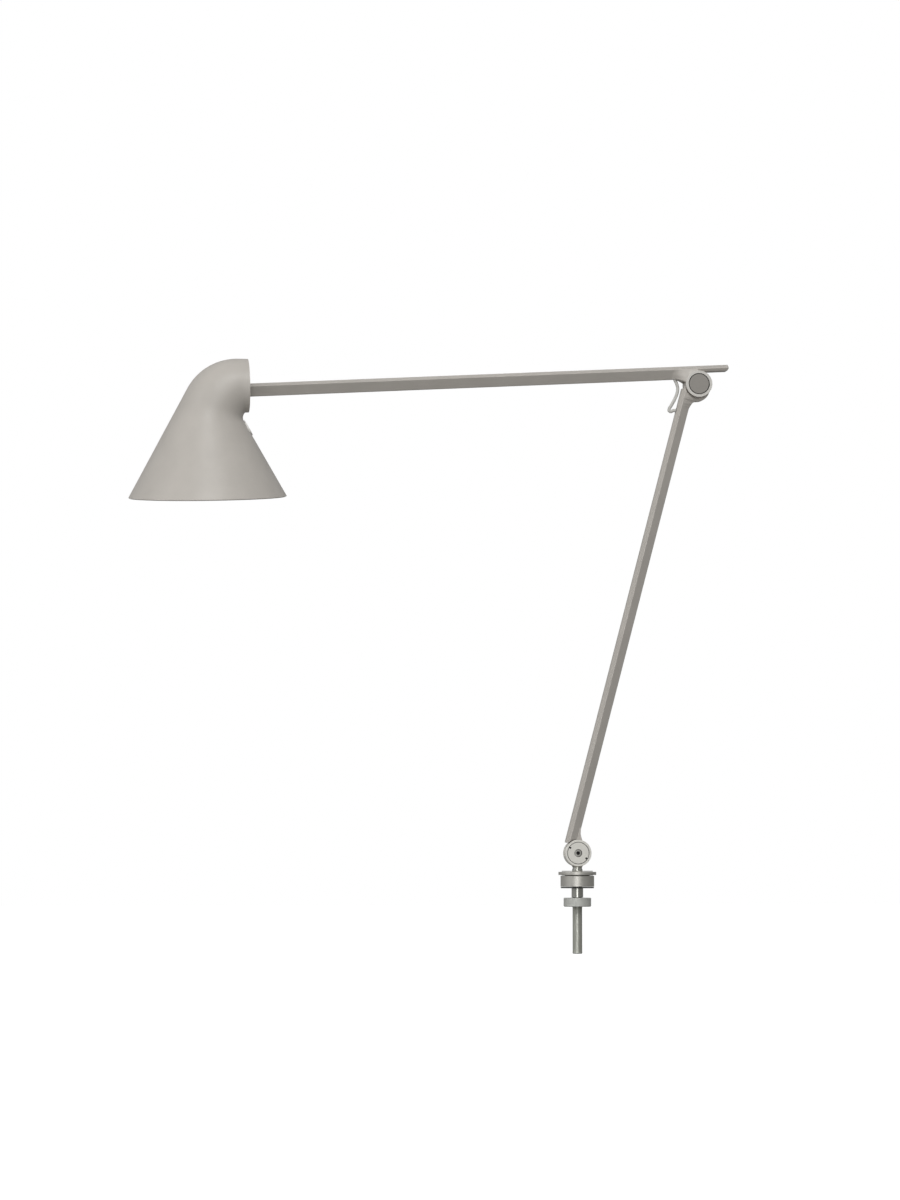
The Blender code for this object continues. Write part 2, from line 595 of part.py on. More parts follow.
def upper_arm():
    lengthwise_bar("upper_arm_bar", UPPER_OFFSET, -1, -HEAD_END, -FORK_ROOT - GAP, PAINT, UPPER,
                   vertical=False)
    fork = lengthwise_bar("elbow_fork", UPPER_OFFSET, -1, -FORK_ROOT, TAIL_LENGTH, PAINT,
                          UPPER, vertical=False, hollow=False)
    plug = lengthwise_bar("fork_plug", UPPER_OFFSET, -1, -FORK_ROOT - 18 * MM,
                          -FORK_ROOT + 1 * MM, None, UPPER, False, BAR_WALL + GAP,
                          hollow=False, cutter=True)
    undercut = block("tail_undercut", (60 * MM, 40 * MM, 40 * MM),
                     (32 * MM, 0, TAIL_UNDERSIDE - 20 * MM), UPPER)
    tail_end = block("tail_end_cut", (20 * MM, 40 * MM, 40 * MM),
                     (TAIL_LENGTH + 10.2 * MM, 0, TAIL_UNDERSIDE), UPPER, about_y(radians(30)))
    eye_room = cross_bore("eye_room", EYE_R + 0.5 * MM, CHEEK_INNER, UPPER, steps=64)
    pin_hole = cross_bore("elbow_pin_hole", PIN_R + GAP, 20 * MM, UPPER)
    lead_bore = turned("fork_lead_bore", disc(2.1 * MM, 60 * MM, 24 * MM), None, UPPER,
                       (0, 0, BAR_AXIS_RISE), ALONG_MINUS_X, 20, cutter=True)
    lead_exit = turned("fork_lead_exit", disc(3.0 * MM, BAR_AXIS_RISE, 0), None, UPPER,
                       (CABLE_EXIT_X, 0, 0), steps=20, cutter=True)
    join(fork, plug)
    cut(fork, undercut, tail_end, lead_bore, lead_exit)
    cap_recess = 1.5 * MM
    for side, rotation in (("front", FACING_FRONT), ("rear", FACING_BACK)):
        boss, web = cheek(side)
        join(fork, boss, web)
        recess = turned(side + "_cap_recess",
                        disc(ELBOW_CAP_R + 0.4 * MM, CHEEK_OUTER + 1 * MM,
                             CHEEK_OUTER - cap_recess), None, UPPER, rotation=rotation,
                        steps=48, cutter=True)
        cut(fork, recess)
        sink = turned(side + "_bolt_room", disc(6.2 * MM, CHEEK_OUTER, 8.0 * MM), None, UPPER,
                      rotation=rotation, steps=24, cutter=True)
        cut(fork, sink)
        turned("elbow_cap_" + side,
               disc(ELBOW_CAP_R, CHEEK_OUTER - 0.2 * MM, CHEEK_OUTER - cap_recess + GAP),
               CAP_PAINT, UPPER, rotation=rotation, steps=36)
        turned("elbow_washer_" + side,
               ring(10.5 * MM, PIN_R + GAP, CHEEK_INNER - 0.25 * MM, EYE_HALF + 0.25 * MM),
               NYLON, UPPER, rotation=rotation, steps=24)
    cut(fork, eye_room, pin_hole)
    bolt_top = CHEEK_OUTER - cap_recess
    bolt = turned("elbow_bolt",
                  [(0, bolt_top), (5 * MM, bolt_top), (5 * MM, 8.0 * MM + GAP),
                   (PIN_R, 8.0 * MM + GAP), (PIN_R, -bolt_top), (0, -bolt_top)],
                  STEEL, UPPER, rotation=FACING_FRONT, steps=24)
    socket = turned("elbow_bolt_socket", disc(2.3 * MM, 12 * MM, bolt_top - 1.5 * MM), None,
                    UPPER, rotation=FACING_FRONT, steps=6, cutter=True)
    cut(bolt, socket)
    hex_nut("elbow_nut", 5.4 * MM, PIN_R + GAP, bolt_top - GAP, 8.0 * MM + GAP, UPPER,
            rotation=FACING_BACK)

    journal_r = 4.0 * MM
    root_r = 3.0 * MM
    end_plug = lengthwise_bar("bar_end_plug", UPPER_OFFSET, -1, -HEAD_END,
                              -HEAD_END + 20 * MM, PAINT, UPPER, False, BAR_WALL + GAP,
                              hollow=False)
    journal = turned("journal_blank",
                     [(0, 470.3 * MM), (journal_r, 470.3 * MM), (journal_r, 469.7 * MM),
                      (3.2 * MM, 469.7 * MM), (3.2 * MM, 468.7 * MM),
                      (journal_r, 468.7 * MM), (journal_r, HEAD_END + 2 * MM),
                      (7.0 * MM, HEAD_END + 2 * MM), (7.0 * MM, HEAD_END + GAP),
                      (root_r, HEAD_END + GAP), (root_r, HEAD_END - 2 * MM),
                      (0, HEAD_END - 2 * MM)],
                     None, UPPER, (0, 0, BAR_AXIS_RISE), ALONG_MINUS_X, 24, cutter=True)
    plug_bore = turned("plug_bore", disc(2.0 * MM, 480 * MM, 430 * MM), None, UPPER,
                       (0, 0, BAR_AXIS_RISE), ALONG_MINUS_X, 20, cutter=True)
    join(end_plug, journal)
    cut(end_plug, plug_bore)
    turned("journal_clip", ring(5.1 * MM, 3.2 * MM + GAP, 469.4 * MM, 468.95 * MM), STEEL,
           UPPER, (0, 0, BAR_AXIS_RISE), ALONG_MINUS_X, 20)
    tube("upper_lead", [(-FORK_ROOT + 6 * MM, 0, BAR_AXIS_RISE), (-469 * MM, 0, BAR_AXIS_RISE)],
         CABLE_R, CABLE, UPPER)


# ---------------------------------------------------------------- lead across the elbow
def elbow_cable():
    """Lead that bows out of the fork's underside and goes square into the lower bar."""
    out_of_fork = UPPER.matrix_local
    into_bar = LOWER.matrix_local
    entry_z = ARM_PITCH - CABLE_ENTRY_DROP
    route = [out_of_fork @ Vector((CABLE_EXIT_X, 0, BAR_AXIS_RISE - 2.2 * MM)),
             out_of_fork @ Vector((CABLE_EXIT_X, 0, 8.0 * MM))]
    bow = [(-23.6, 6.0), (-23.0, 4.4), (-21.6, 1.6), (-20.3, -2.6), (-20.3, -6.4),
           (-21.3, -10.4), (-23.6, -15.6), (-26.6, -20.9), (-28.7, -24.2), (-29.0, -26.4),
           (-27.2, -27.5)]
    route += [ELBOW_PIVOT + Vector((x * MM, 0, z * MM)) for x, z in bow]
    route.append(into_bar @ Vector((-LOWER_OFFSET - 1.5 * MM, 0, entry_z)))
    route.append(into_bar @ Vector((-LOWER_OFFSET + BAR_H / 2 - 2.2 * MM, 0, entry_z)))
    tube("elbow_cable", route, CABLE_R, CABLE, None)


# ---------------------------------------------------------------- head knuckle
def head_knuckle():
    """Sleeve that turns on the arm's journal, with two ears for the tilt pin."""
    near = HEAD_REACH - (HEAD_END + 2 * MM + GAP)
    far = HEAD_REACH - 468.4 * MM
    ear_r = 5.5 * MM
    ear_inner = 5.3 * MM
    sleeve_r = 7.5 * MM
    knuckle = turned("head_knuckle", ring(sleeve_r, 4.3 * MM, near, far), CAST, KNUCKLE,
                     rotation=ALONG_PLUS_X, steps=24)
    for side in (-1, 1):
        outline = arc(0, 0, ear_r, 90, 270, 12) + [(far + 2 * MM, -ear_r), (far + 2 * MM, ear_r)]
        ear = plate(f"ear_{side}", [outline], sleeve_r - ear_inner - 0.4 * MM, None, KNUCKLE,
                    (0, side * (sleeve_r + ear_inner) / 2, 0), UPRIGHT, cutter=True)
        join(knuckle, ear)
    ear_hole = cross_bore("ear_hole", 2.0 * MM + GAP, 20 * MM, KNUCKLE, steps=24)
    cut(knuckle, ear_hole)


# ---------------------------------------------------------------- head
def in_head(x, z, y=0.0):
    """Point of the shade's own frame (cone axis, neck axis) in the tilt frame."""
    return Vector((x, y, z)) - HEAD_PIVOT


def shade_outlines():
    """Matching points on the outer and inner side of the shade's bend, as (x, z)."""
    slope = tan(CONE_ANGLE)
    edge = RIM_R * cos(CONE_ANGLE) - RIM_DROP * sin(CONE_ANGLE)
    notch_x = (edge + NOTCH_R - NOTCH_Z * sin(CONE_ANGLE)) / cos(CONE_ANGLE)
    crown_z = CROWN_RISE - CROWN_R
    crown_x = (CROWN_R + sin(CONE_ANGLE) * (RIM_DROP + crown_z)) / cos(CONE_ANGLE) - RIM_R
    bend_steps = 8
    inner = arc(notch_x, NOTCH_Z, NOTCH_R, 180 + degrees(CONE_ANGLE), NOTCH_END,
                bend_steps + 1)
    first_z = inner[0][1]
    first = (-(RIM_R - slope * (RIM_DROP + first_z)), first_z)
    crown = arc(crown_x, crown_z, CROWN_R, 180 - degrees(CONE_ANGLE), 90, bend_steps - 1)
    between = ((first[0] + crown[0][0]) / 2, (first[1] + crown[0][1]) / 2)
    outer = [first, between] + crown
    outer.append((NECK_LENGTH, NECK_R))
    inner.append((NECK_LENGTH, -NECK_R))
    return outer, inner


def shade():
    rings = [((-RIM_R, -RIM_DROP), (RIM_R, -RIM_DROP))]
    rings += list(zip(*shade_outlines()))
    steps = 48
    mesh = bpy.data.meshes.new("shade")
    work = bmesh.new()
    previous = None
    for (left_x, left_z), (right_x, right_z) in rings:
        left = in_head(left_x, left_z)
        right = in_head(right_x, right_z)
        centre = (left + right) / 2
        out = (left - right) / 2
        across = Vector((0, out.length, 0))
        loop = [work.verts.new(centre + out * cos(2 * pi * i / steps)
                               + across * sin(2 * pi * i / steps)) for i in range(steps)]
        if previous:
            for i in range(steps):
                j = (i + 1) % steps
                work.faces.new((previous[i], loop[i], loop[j], previous[j]))
        previous = loop
    work.to_mesh(mesh)
    work.free()
    shell = place("shade", mesh, PAINT, HEAD, (0, 0, 0))
    wall = shell.modifiers.new("wall", "SOLIDIFY")
    wall.thickness = SHADE_WALL
    wall.offset = -1
    wall.use_even_offset = True
    switch_hole = switch_turned("switch_hole", disc(SWITCH_R + GAP, 8 * MM, -8 * MM), None, 32,
                                cutter=True)
    cut(shell, switch_hole)


def switch_turned(name, profile, paint, steps=32, cutter=False):
    """Turned piece whose axis stands square on the cone behind the arm."""
    x = RIM_R - tan(CONE_ANGLE) * (RIM_DROP + SWITCH_Z)
    return turned(name, profile, paint, HEAD, in_head(x, SWITCH_Z),
                  about_y(pi / 2 - CONE_ANGLE), steps, cutter)


def switch():
    inner_r = SWITCH_R - 1.1 * MM
    switch_turned("switch_bezel", ring(SWITCH_R, inner_r, 0.9 * MM, -5.0 * MM), SWITCH)
    switch_turned("switch_button", disc(inner_r - GAP, 0.7 * MM, -1.6 * MM), SWITCH)
    switch_turned("switch_board", disc(inner_r - GAP, -4.0 * MM, -5.2 * MM), BOARD, 24)


def head_bracket():
    tongue_half = 4.2 * MM
    foot_top = SINK_TOP + GAP
    foot_half = 9 * MM
    strap = arc(0, 0, 5.5 * MM, 80, -60, 10)
    strap += [(p.x, p.z) for p in (in_head(6 * MM, -22 * MM), in_head(4 * MM, foot_top + 3 * MM),
                                   in_head(foot_half, foot_top + 3 * MM),
                                   in_head(foot_half, foot_top),
                                   in_head(-foot_half, foot_top),
                                   in_head(-foot_half, foot_top + 3 * MM),
                                   in_head(-4 * MM, foot_top + 3 * MM),
                                   in_head(-4 * MM, -16 * MM), in_head(2 * MM, -4 * MM))]
    bracket = plate("head_bracket", [strap], 2 * tongue_half, CAST, HEAD, rotation=UPRIGHT)
    hole = cross_bore("bracket_hole", 2.0 * MM + GAP, 20 * MM, HEAD, steps=24)
    cut(bracket, hole)
    pin = turned("tilt_bolt",
                 [(0, 9.9 * MM), (3.4 * MM, 9.9 * MM), (3.4 * MM, 7.8 * MM),
                  (2.0 * MM, 7.8 * MM), (2.0 * MM, -10.2 * MM), (0, -10.2 * MM)],
                 STEEL, HEAD, rotation=FACING_FRONT, steps=20)
    socket = turned("tilt_bolt_socket", disc(1.5 * MM, 12 * MM, 8.6 * MM), None, HEAD,
                    rotation=FACING_FRONT, steps=6, cutter=True)
    cut(pin, socket)
    hex_nut("tilt_nut", 3.7 * MM, 2.0 * MM + GAP, 10.0 * MM, 7.8 * MM, HEAD,
            rotation=FACING_BACK)


def light_engine():
    def lathe(name, profile, paint, steps=32):
        return turned(name, profile, paint, HEAD, in_head(0, 0), steps=steps)

    profile = [(0, SINK_TOP)]
    for inner, outer in SINK_GROOVES:
        profile += [(inner, SINK_TOP), (inner, SINK_BASE), (outer, SINK_BASE), (outer, SINK_TOP)]
    profile += [(SINK_R, SINK_TOP), (SINK_R, SINK_BOTTOM), (0, SINK_BOTTOM)]
    lathe("heat_sink", profile, SINK, 24)
    board_top = SINK_BOTTOM - GAP
    lathe("led_board", disc(20 * MM, board_top, board_top - 1.6 * MM), BOARD)
    led_top = board_top - 1.6 * MM - GAP
    lathe("led_module", disc(8 * MM, led_top, led_top - 1.2 * MM), LED, 24)
    lamp_room = led_top - 0.2 * MM
    rim_z = REFLECTOR_RIM_Z
    lathe("reflector",
          [(11 * MM, lamp_room), (46 * MM, rim_z), (53.0 * MM, rim_z),
           (53.0 * MM, rim_z - 1.2 * MM), (45.4 * MM, rim_z - 1.2 * MM),
           (10.0 * MM, lamp_room - 1.2 * MM), (10.0 * MM, lamp_room)], REFLECTOR, 36)
    lens_top = rim_z - 1.2 * MM - GAP
    lathe("diffuser", disc(49 * MM, lens_top, lens_top - 2 * MM), OPAL, 36)
    lathe("retaining_ring",
          [(53 * MM, lens_top), (54 * MM, lens_top - 3.6 * MM), (46 * MM, lens_top - 3.6 * MM),
           (46 * MM, lens_top - 2.3 * MM), (49.4 * MM, lens_top - 2.3 * MM),
           (49.4 * MM, lens_top)], REFLECTOR, 36)


table_mount()
swivel()
lower_arm()
upper_arm()
elbow_cable()
head_knuckle()
shade()
switch()
head_bracket()
light_engine()
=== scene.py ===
import json
from math import atan2, cos, degrees, pi, radians, sin, sqrt, tan

import bmesh
import bpy
from mathutils import Matrix, Vector


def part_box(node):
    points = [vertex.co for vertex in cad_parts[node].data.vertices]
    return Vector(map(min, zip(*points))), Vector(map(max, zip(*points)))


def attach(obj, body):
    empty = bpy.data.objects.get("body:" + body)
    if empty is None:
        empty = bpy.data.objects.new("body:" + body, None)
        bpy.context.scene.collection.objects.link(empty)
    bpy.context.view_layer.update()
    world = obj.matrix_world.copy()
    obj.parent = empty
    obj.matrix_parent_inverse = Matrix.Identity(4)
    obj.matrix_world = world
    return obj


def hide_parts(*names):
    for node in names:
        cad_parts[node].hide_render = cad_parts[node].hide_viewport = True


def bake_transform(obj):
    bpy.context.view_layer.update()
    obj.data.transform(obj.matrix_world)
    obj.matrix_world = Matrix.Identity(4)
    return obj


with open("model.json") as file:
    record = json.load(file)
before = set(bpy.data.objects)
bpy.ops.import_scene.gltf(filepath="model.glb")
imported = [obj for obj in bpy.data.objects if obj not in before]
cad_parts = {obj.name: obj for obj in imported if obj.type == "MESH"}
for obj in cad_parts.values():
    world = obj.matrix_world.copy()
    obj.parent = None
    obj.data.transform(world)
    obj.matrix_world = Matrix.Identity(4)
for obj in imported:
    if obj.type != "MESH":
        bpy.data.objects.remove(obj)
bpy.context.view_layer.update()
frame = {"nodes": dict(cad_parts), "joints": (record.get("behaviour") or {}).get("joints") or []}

MM = 0.001
GAP = 0.3 * MM                     # air between neighbouring pieces

# ---- where the joints are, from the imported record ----
JOINTS = {joint["name"]: joint for joint in frame["joints"]}
BASE_PIVOT = Vector(JOINTS["base_tilt"]["pos_m"])
ELBOW_PIVOT = Vector(JOINTS["elbow"]["pos_m"])
HEAD_AT = Vector(JOINTS["head_tilt"]["pos_m"])
ARM_PITCH = (ELBOW_PIVOT - BASE_PIVOT).length
LOWER_LEAN = atan2(ELBOW_PIVOT.x - BASE_PIVOT.x, ELBOW_PIVOT.z - BASE_PIVOT.z)
ALONG_UPPER = Vector(JOINTS["head_swivel"]["axis"])
UPPER_SLOPE = atan2(ALONG_UPPER.z, ALONG_UPPER.x)
HEAD_PITCH = radians(1.5)
HEAD_ROLL = radians(7.0)

# ---- table mount ----
PUCK_R = 16.8 * MM
PUCK_TOP = 12.4 * MM
PUCK_FLOOR = 3.9 * MM
CAVITY_R = 12.6 * MM
FOOT_PAD_R = 16.6 * MM
FOOT_PAD_T = 1.2 * MM
SPIGOT_R = 15.6 * MM               # step of the flange that centres it on the puck
SPIGOT_BOTTOM = 9.8 * MM
FLANGE_R = 18.9 * MM
FLANGE_BOTTOM = 13.2 * MM
FLANGE_TOP = 16.3 * MM
COVER_R = 15.5 * MM
COVER_TOP = 17.4 * MM
POST_R = 5.2 * MM
POST_POLISH_TOP = 22.0 * MM        # the waist below the drum is bright metal
TUBE_R = 5.0 * MM
TUBE_BORE_R = 3.3 * MM
TUBE_TOP = 7.6 * MM
TUBE_BOTTOM = -65.3 * MM
THREAD_PITCH = 1.0 * MM
THREAD_DEPTH = 0.35 * MM
COLLAR_R = 5.8 * MM
COLLAR_BOTTOM = -9.2 * MM
NUT_R = 13.8 * MM
KNURLS = 72
KNURL_DEPTH = 0.32 * MM
KNURL_LEAN = 1.1                   # tangent of the knurl's slant to the nut's axis

# ---- base joint ----
DRUM_R = 13.3 * MM
DRUM_HALF = 7.5 * MM
DRUM_CAP_R = 10.7 * MM
DRUM_SLOT_HALF = 4.1 * MM
DRUM_SLOT_FLOOR = -2.8 * MM        # the slot's open part, from the pivot upwards
HUB_R = 9.5 * MM
TONGUE_HALF = 3.0 * MM
CAP_RECESS = 1.7 * MM
CAP_ROOM_R = DRUM_CAP_R + 1.4 * GAP
PIN_R = 2.9 * MM
BOLT_HEAD_R = 3.5 * MM
BOLT_HEAD_TOP = DRUM_HALF - 1.0 * MM
SOCKET_R = 2.1 * MM                # middle to the hexagon's corners
KEY_HOLE_R = 1.05 * MM

# ---- arms ----
BAR_H = 12.15 * MM                 # outer face to inner edge
BAR_OUTER_HALF = 3.0 * MM
BAR_RIDGE_HALF = 9.0 * MM
BAR_RIDGE_DROP = 3.5 * MM
BAR_INNER_HALF = 1.5 * MM
UPPER_BAR_H = 12.9 * MM            # the upper bar is a little deeper
LOWER_OFFSET = 14.75 * MM          # pivot line to the lower bar's outer face
UPPER_OFFSET = 18.9 * MM           # pivot line to the upper bar's outer face
BAR_AXIS_RISE = 13.125 * MM        # elbow pivot line to the head's swivel axis
TAIL_LENGTH = 31.6 * MM
TAIL_UNDERSIDE = 12.4 * MM
FORK_ROOT = 36.0 * MM
HEAD_END = 458.0 * MM

# ---- elbow ----
EYE_R = 13.0 * MM
EYE_DROP = 4.5 * MM
EYE_HALF = 4.4 * MM
EYE_ROOT = 27.0 * MM               # elbow pivot down to the eye casting's seam
BUSH_ROOM_R = 4.5 * MM             # in the foot and in the eye
SEAM = 0.03 * MM                   # hairline where a casting meets its bar
VOXEL = 0.3 * MM                   # fineness of the castings' blended skins
CHEEK_INNER = 5.2 * MM
CHEEK_OUTER = 11.0 * MM
RING_STEP = 1.1 * MM               # the pivot ring stands proud of the web by this
RING_R = 13.4 * MM
FOLDED_ROOM = (3.2 * MM, 2 * CHEEK_INNER, 6.5 * MM)     # for the bar's end, arms folded
FOLDED_ROOM_AT = (-13.5 * MM, 0, 1.8 * MM)
ELBOW_CAP_R = 9.95 * MM
ELBOW_CAP_ROOM_R = ELBOW_CAP_R + 0.75 * MM
ELBOW_CAP_RECESS = 1.5 * MM
CABLE_R = 1.65 * MM
CABLE_EXIT_X = -24.0 * MM
CABLE_ENTRY_DROP = 31.4 * MM

# ---- shade ----
RIM_R = 79.0 * MM
RIM_DROP = 110.2 * MM              # neck axis down to the rim
CONE_ANGLE = radians(29.1)
CROWN_RISE = 27.1 * MM
CROWN_R = 56.3 * MM
NECK_R = 26.7 * MM
NECK_LENGTH = 42.2 * MM
NOTCH_R = 6.9 * MM
NOTCH_Z = -31.8 * MM
NOTCH_END = 133                    # degrees round the notch, where the neck's underside starts
SHADE_WALL = 1.6 * MM
PIVOT_IN_NECK = 19.8 * MM
PIVOT_BELOW_NECK_AXIS = 4.4 * MM
SWITCH_R = 8.5 * MM
SWITCH_Z = -42.2 * MM
SINK_BOTTOM = -46.0 * MM
BOARD_T = 1.6 * MM
REFLECTOR_RIM_Z = -73.0 * MM
SHEET_T = 1.2 * MM                 # reflector wall
MOUTH_R = 46.0 * MM
LIP_R = 53.0 * MM
LENS_R = 49.0 * MM
LENS_T = 2.0 * MM


def about_y(angle):
    return Matrix.Rotation(angle, 4, "Y")


WORLD = Matrix.Identity(4)
SWIVEL = Matrix.Translation(BASE_PIVOT)
LOWER = Matrix.Translation(BASE_PIVOT) @ about_y(LOWER_LEAN)
ELBOW_END = LOWER @ Matrix.Translation((0, 0, ARM_PITCH))
UPPER = Matrix.Translation(ELBOW_PIVOT) @ about_y(-UPPER_SLOPE)
KNUCKLE = (Matrix.Translation(HEAD_AT) @ about_y(-UPPER_SLOPE)
           @ Matrix.Rotation(HEAD_ROLL, 4, "X"))
HEAD = (KNUCKLE @ about_y(UPPER_SLOPE - HEAD_PITCH)
        @ Matrix.Translation((-PIVOT_IN_NECK, 0, PIVOT_BELOW_NECK_AXIS)))
FACING_FRONT = Matrix.Rotation(pi / 2, 4, "X")      # turned axis +Z becomes -Y
FACING_BACK = Matrix.Rotation(-pi / 2, 4, "X")      # turned axis +Z becomes +Y
ALONG_MINUS_X = about_y(-pi / 2)
UPRIGHT = Matrix(((1, 0, 0, 0), (0, 0, -1, 0), (0, 1, 0, 0), (0, 0, 0, 1)))   # outline in XZ


# ---------------------------------------------------------------- materials
def linear(channel):
    """8-bit sRGB channel to a linear value."""
    value = channel / 255
    return value / 12.92 if value <= 0.04045 else ((value + 0.055) / 1.055) ** 2.4


def tint(rgb, factor=1.0):
    return (*[min(linear(c) * factor, 1.0) for c in rgb], 1)


class Nodes:
    """Small helper that adds shader nodes and links them."""

    def __init__(self, name):
        self.material = bpy.data.materials.new(name)
        self.material.use_nodes = True
        self.tree = self.material.node_tree
        self.shader = self.tree.nodes["Principled BSDF"]
        self.coordinates = self.add("ShaderNodeTexCoord").outputs["Object"]

    def add(self, kind, **settings):
        node = self.tree.nodes.new(kind)
        for key, value in settings.items():
            setattr(node, key, value)
        return node

    def link(self, source, target):
        self.tree.links.new(source, target)

    def noise(self, scale, detail=2.0, vector=None, rough=0.5):
        node = self.add("ShaderNodeTexNoise")
        node.inputs["Scale"].default_value = scale
        node.inputs["Detail"].default_value = detail
        node.inputs["Roughness"].default_value = rough
        self.link(vector or self.coordinates, node.inputs["Vector"])
        return node.outputs["Fac"]

    def spread(self, source, low, high, bottom=0.3, top=0.7):
        node = self.add("ShaderNodeMapRange")
        node.inputs["From Min"].default_value = bottom
        node.inputs["From Max"].default_value = top
        node.inputs["To Min"].default_value = low
        node.inputs["To Max"].default_value = high
        self.link(source, node.inputs["Value"])
        return node.outputs["Result"]

    def mix(self, source, first, second):
        node = self.add("ShaderNodeMix", data_type="RGBA")
        node.inputs[6].default_value = first
        node.inputs[7].default_value = second
        self.link(source, node.inputs[0])
        return node.outputs[2]

    def bump(self, height, distance, strength=1.0, base=None):
        node = self.add("ShaderNodeBump")
        node.inputs["Distance"].default_value = distance
        node.inputs["Strength"].default_value = strength
        self.link(height, node.inputs["Height"])
        if base:
            self.link(base, node.inputs["Normal"])
        return node.outputs["Normal"]

    def turned_coordinates(self, stretch=1.0):
        """Radius and height about the piece's own axis, so that marks run round it."""
        split = self.add("ShaderNodeSeparateXYZ")
        self.link(self.coordinates, split.inputs[0])
        flat = self.add("ShaderNodeCombineXYZ")
        self.link(split.outputs["X"], flat.inputs["X"])
        self.link(split.outputs["Y"], flat.inputs["Y"])
        radius = self.add("ShaderNodeVectorMath", operation="LENGTH")
        self.link(flat.outputs[0], radius.inputs[0])
        joined = self.add("ShaderNodeCombineXYZ")
        self.link(radius.outputs["Value"], joined.inputs["X"])
        self.link(split.outputs["Z"], joined.inputs["Y"])
        along = self.add("ShaderNodeMath", operation="MULTIPLY")
        along.inputs[1].default_value = stretch
        self.link(split.outputs["X"], along.inputs[0])
        self.link(along.outputs[0], joined.inputs["Z"])
        return joined.outputs[0]


def painted(name, rgb, roughness):
    """Powder coat: soft orange peel, with a finer grain over it."""
    grain = 0.55 * MM
    depth = 0.010 * MM
    mottle = 0.035
    nodes = Nodes(name)
    tone = nodes.spread(nodes.noise(38.0, 3.0), 0.0, 1.0)
    fleck = nodes.spread(nodes.noise(1 / (0.32 * MM), 1.0), 0.0, 1.0, 0.35, 0.65)
    cloud = nodes.mix(tone, tint(rgb, 1 - mottle), tint(rgb, 1 + mottle))
    speck = nodes.add("ShaderNodeMix", data_type="RGBA", blend_type="MULTIPLY")
    speck.inputs[0].default_value = 0.05
    nodes.link(cloud, speck.inputs[6])
    nodes.link(fleck, speck.inputs[7])
    nodes.link(speck.outputs[2], nodes.shader.inputs["Base Color"])
    nodes.link(nodes.spread(nodes.noise(120.0), roughness - 0.04, roughness + 0.05),
               nodes.shader.inputs["Roughness"])
    peel = nodes.bump(nodes.noise(1 / grain, 1.0), depth, 0.6)
    fine = nodes.bump(fleck, depth * 0.35, 0.4, peel)
    nodes.link(fine, nodes.shader.inputs["Normal"])
    return nodes.material


def turned_metal(name, rgb, roughness, contrast=0.12):
    """Lathe-turned metal: fine marks run round the axis."""
    marks = 0.16 * MM
    depth = 0.0012 * MM
    nodes = Nodes(name)
    round_axis = nodes.turned_coordinates(0.02)
    lines = nodes.noise(1 / marks, 4.0, round_axis, 0.7)
    smear = nodes.noise(110.0, 2.0)
    nodes.link(nodes.mix(nodes.spread(lines, 0.0, 1.0), tint(rgb, 1 - contrast),
                         tint(rgb, 1 + contrast)), nodes.shader.inputs["Base Color"])
    nodes.link(nodes.spread(smear, roughness - 0.03, roughness + 0.04),
               nodes.shader.inputs["Roughness"])
    nodes.link(nodes.bump(lines, depth, 0.5), nodes.shader.inputs["Normal"])
    nodes.shader.inputs["Metallic"].default_value = 1.0
    return nodes.material


def blasted_metal(name, rgb, roughness, metallic):
    """Bead-blasted or finely knurled metal: an even, speckled grain."""
    grain = 0.22 * MM
    depth = 0.012 * MM
    nodes = Nodes(name)
    pits = nodes.noise(1 / grain, 2.0, rough=0.7)
    patches = nodes.noise(90.0, 2.0)
    nodes.link(nodes.mix(nodes.spread(pits, 0.0, 1.0), tint(rgb, 0.88), tint(rgb, 1.08)),
               nodes.shader.inputs["Base Color"])
    nodes.link(nodes.spread(patches, roughness - 0.04, roughness + 0.06),
               nodes.shader.inputs["Roughness"])
    nodes.link(nodes.bump(pits, depth, 0.6), nodes.shader.inputs["Normal"])
    nodes.shader.inputs["Metallic"].default_value = metallic
    return nodes.material


def moulded(name, rgb, roughness, grain=0.4 * MM, depth=0.006 * MM):
    """Plastic, rubber or a sprayed coating: faint grain, uneven gloss."""
    contrast = 0.05
    nodes = Nodes(name)
    skin = nodes.noise(1 / grain, 2.0)
    tone = nodes.noise(70.0, 2.0)
    nodes.link(nodes.mix(nodes.spread(tone, 0.0, 1.0), tint(rgb, 1 - contrast),
                         tint(rgb, 1 + contrast)), nodes.shader.inputs["Base Color"])
    nodes.link(nodes.spread(skin, roughness - 0.05, roughness + 0.05),
               nodes.shader.inputs["Roughness"])
    nodes.link(nodes.bump(skin, depth, 0.5), nodes.shader.inputs["Normal"])
    return nodes.material


PAINT = painted("grey_paint", (190, 185, 178), 0.42)
INSIDE = painted("white_inside_paint", (236, 234, 229), 0.5)
CAP_PAINT = painted("cap_paint", (146, 142, 136), 0.5)
CAST = blasted_metal("bead_blasted_aluminium", (222, 220, 213), 0.48, 0.2)
STEEL = turned_metal("brushed_steel", (198, 196, 190), 0.46, contrast=0.05)
BOLT_STEEL = turned_metal("bolt_steel", (158, 157, 152), 0.4)
# painted light: a lighter copy of the grey paint for the lit face of the elbow's pivot ring
LIT_RING_PAINT = painted("painted_light_ring", (207, 204, 198), 0.40)
# painted shade: black that stands for the shadow in the gaps and recesses round the joints' caps
# and in the bolt's socket
PAINTED_SHADE = moulded("painted_shade_black", (38, 37, 36), 0.75)
POLISHED = turned_metal("polished_steel", (180, 180, 174), 0.22, contrast=0.04)
THREAD = turned_metal("threaded_steel", (198, 199, 191), 0.42, contrast=0.06)
NUT_STEEL = blasted_metal("knurled_steel", (200, 201, 196), 0.5, 0.5)
BRASS = turned_metal("bearing_bronze", (176, 141, 87), 0.35)
RUBBER = moulded("black_rubber", (44, 44, 44), 0.78, 0.5 * MM, 0.02 * MM)
NYLON = moulded("black_nylon", (50, 50, 52), 0.55)
CABLE = moulded("grey_cable", (198, 197, 192), 0.62, 0.6 * MM, 0.008 * MM)
SINK = blasted_metal("anodised_aluminium", (150, 152, 154), 0.4, 0.9)
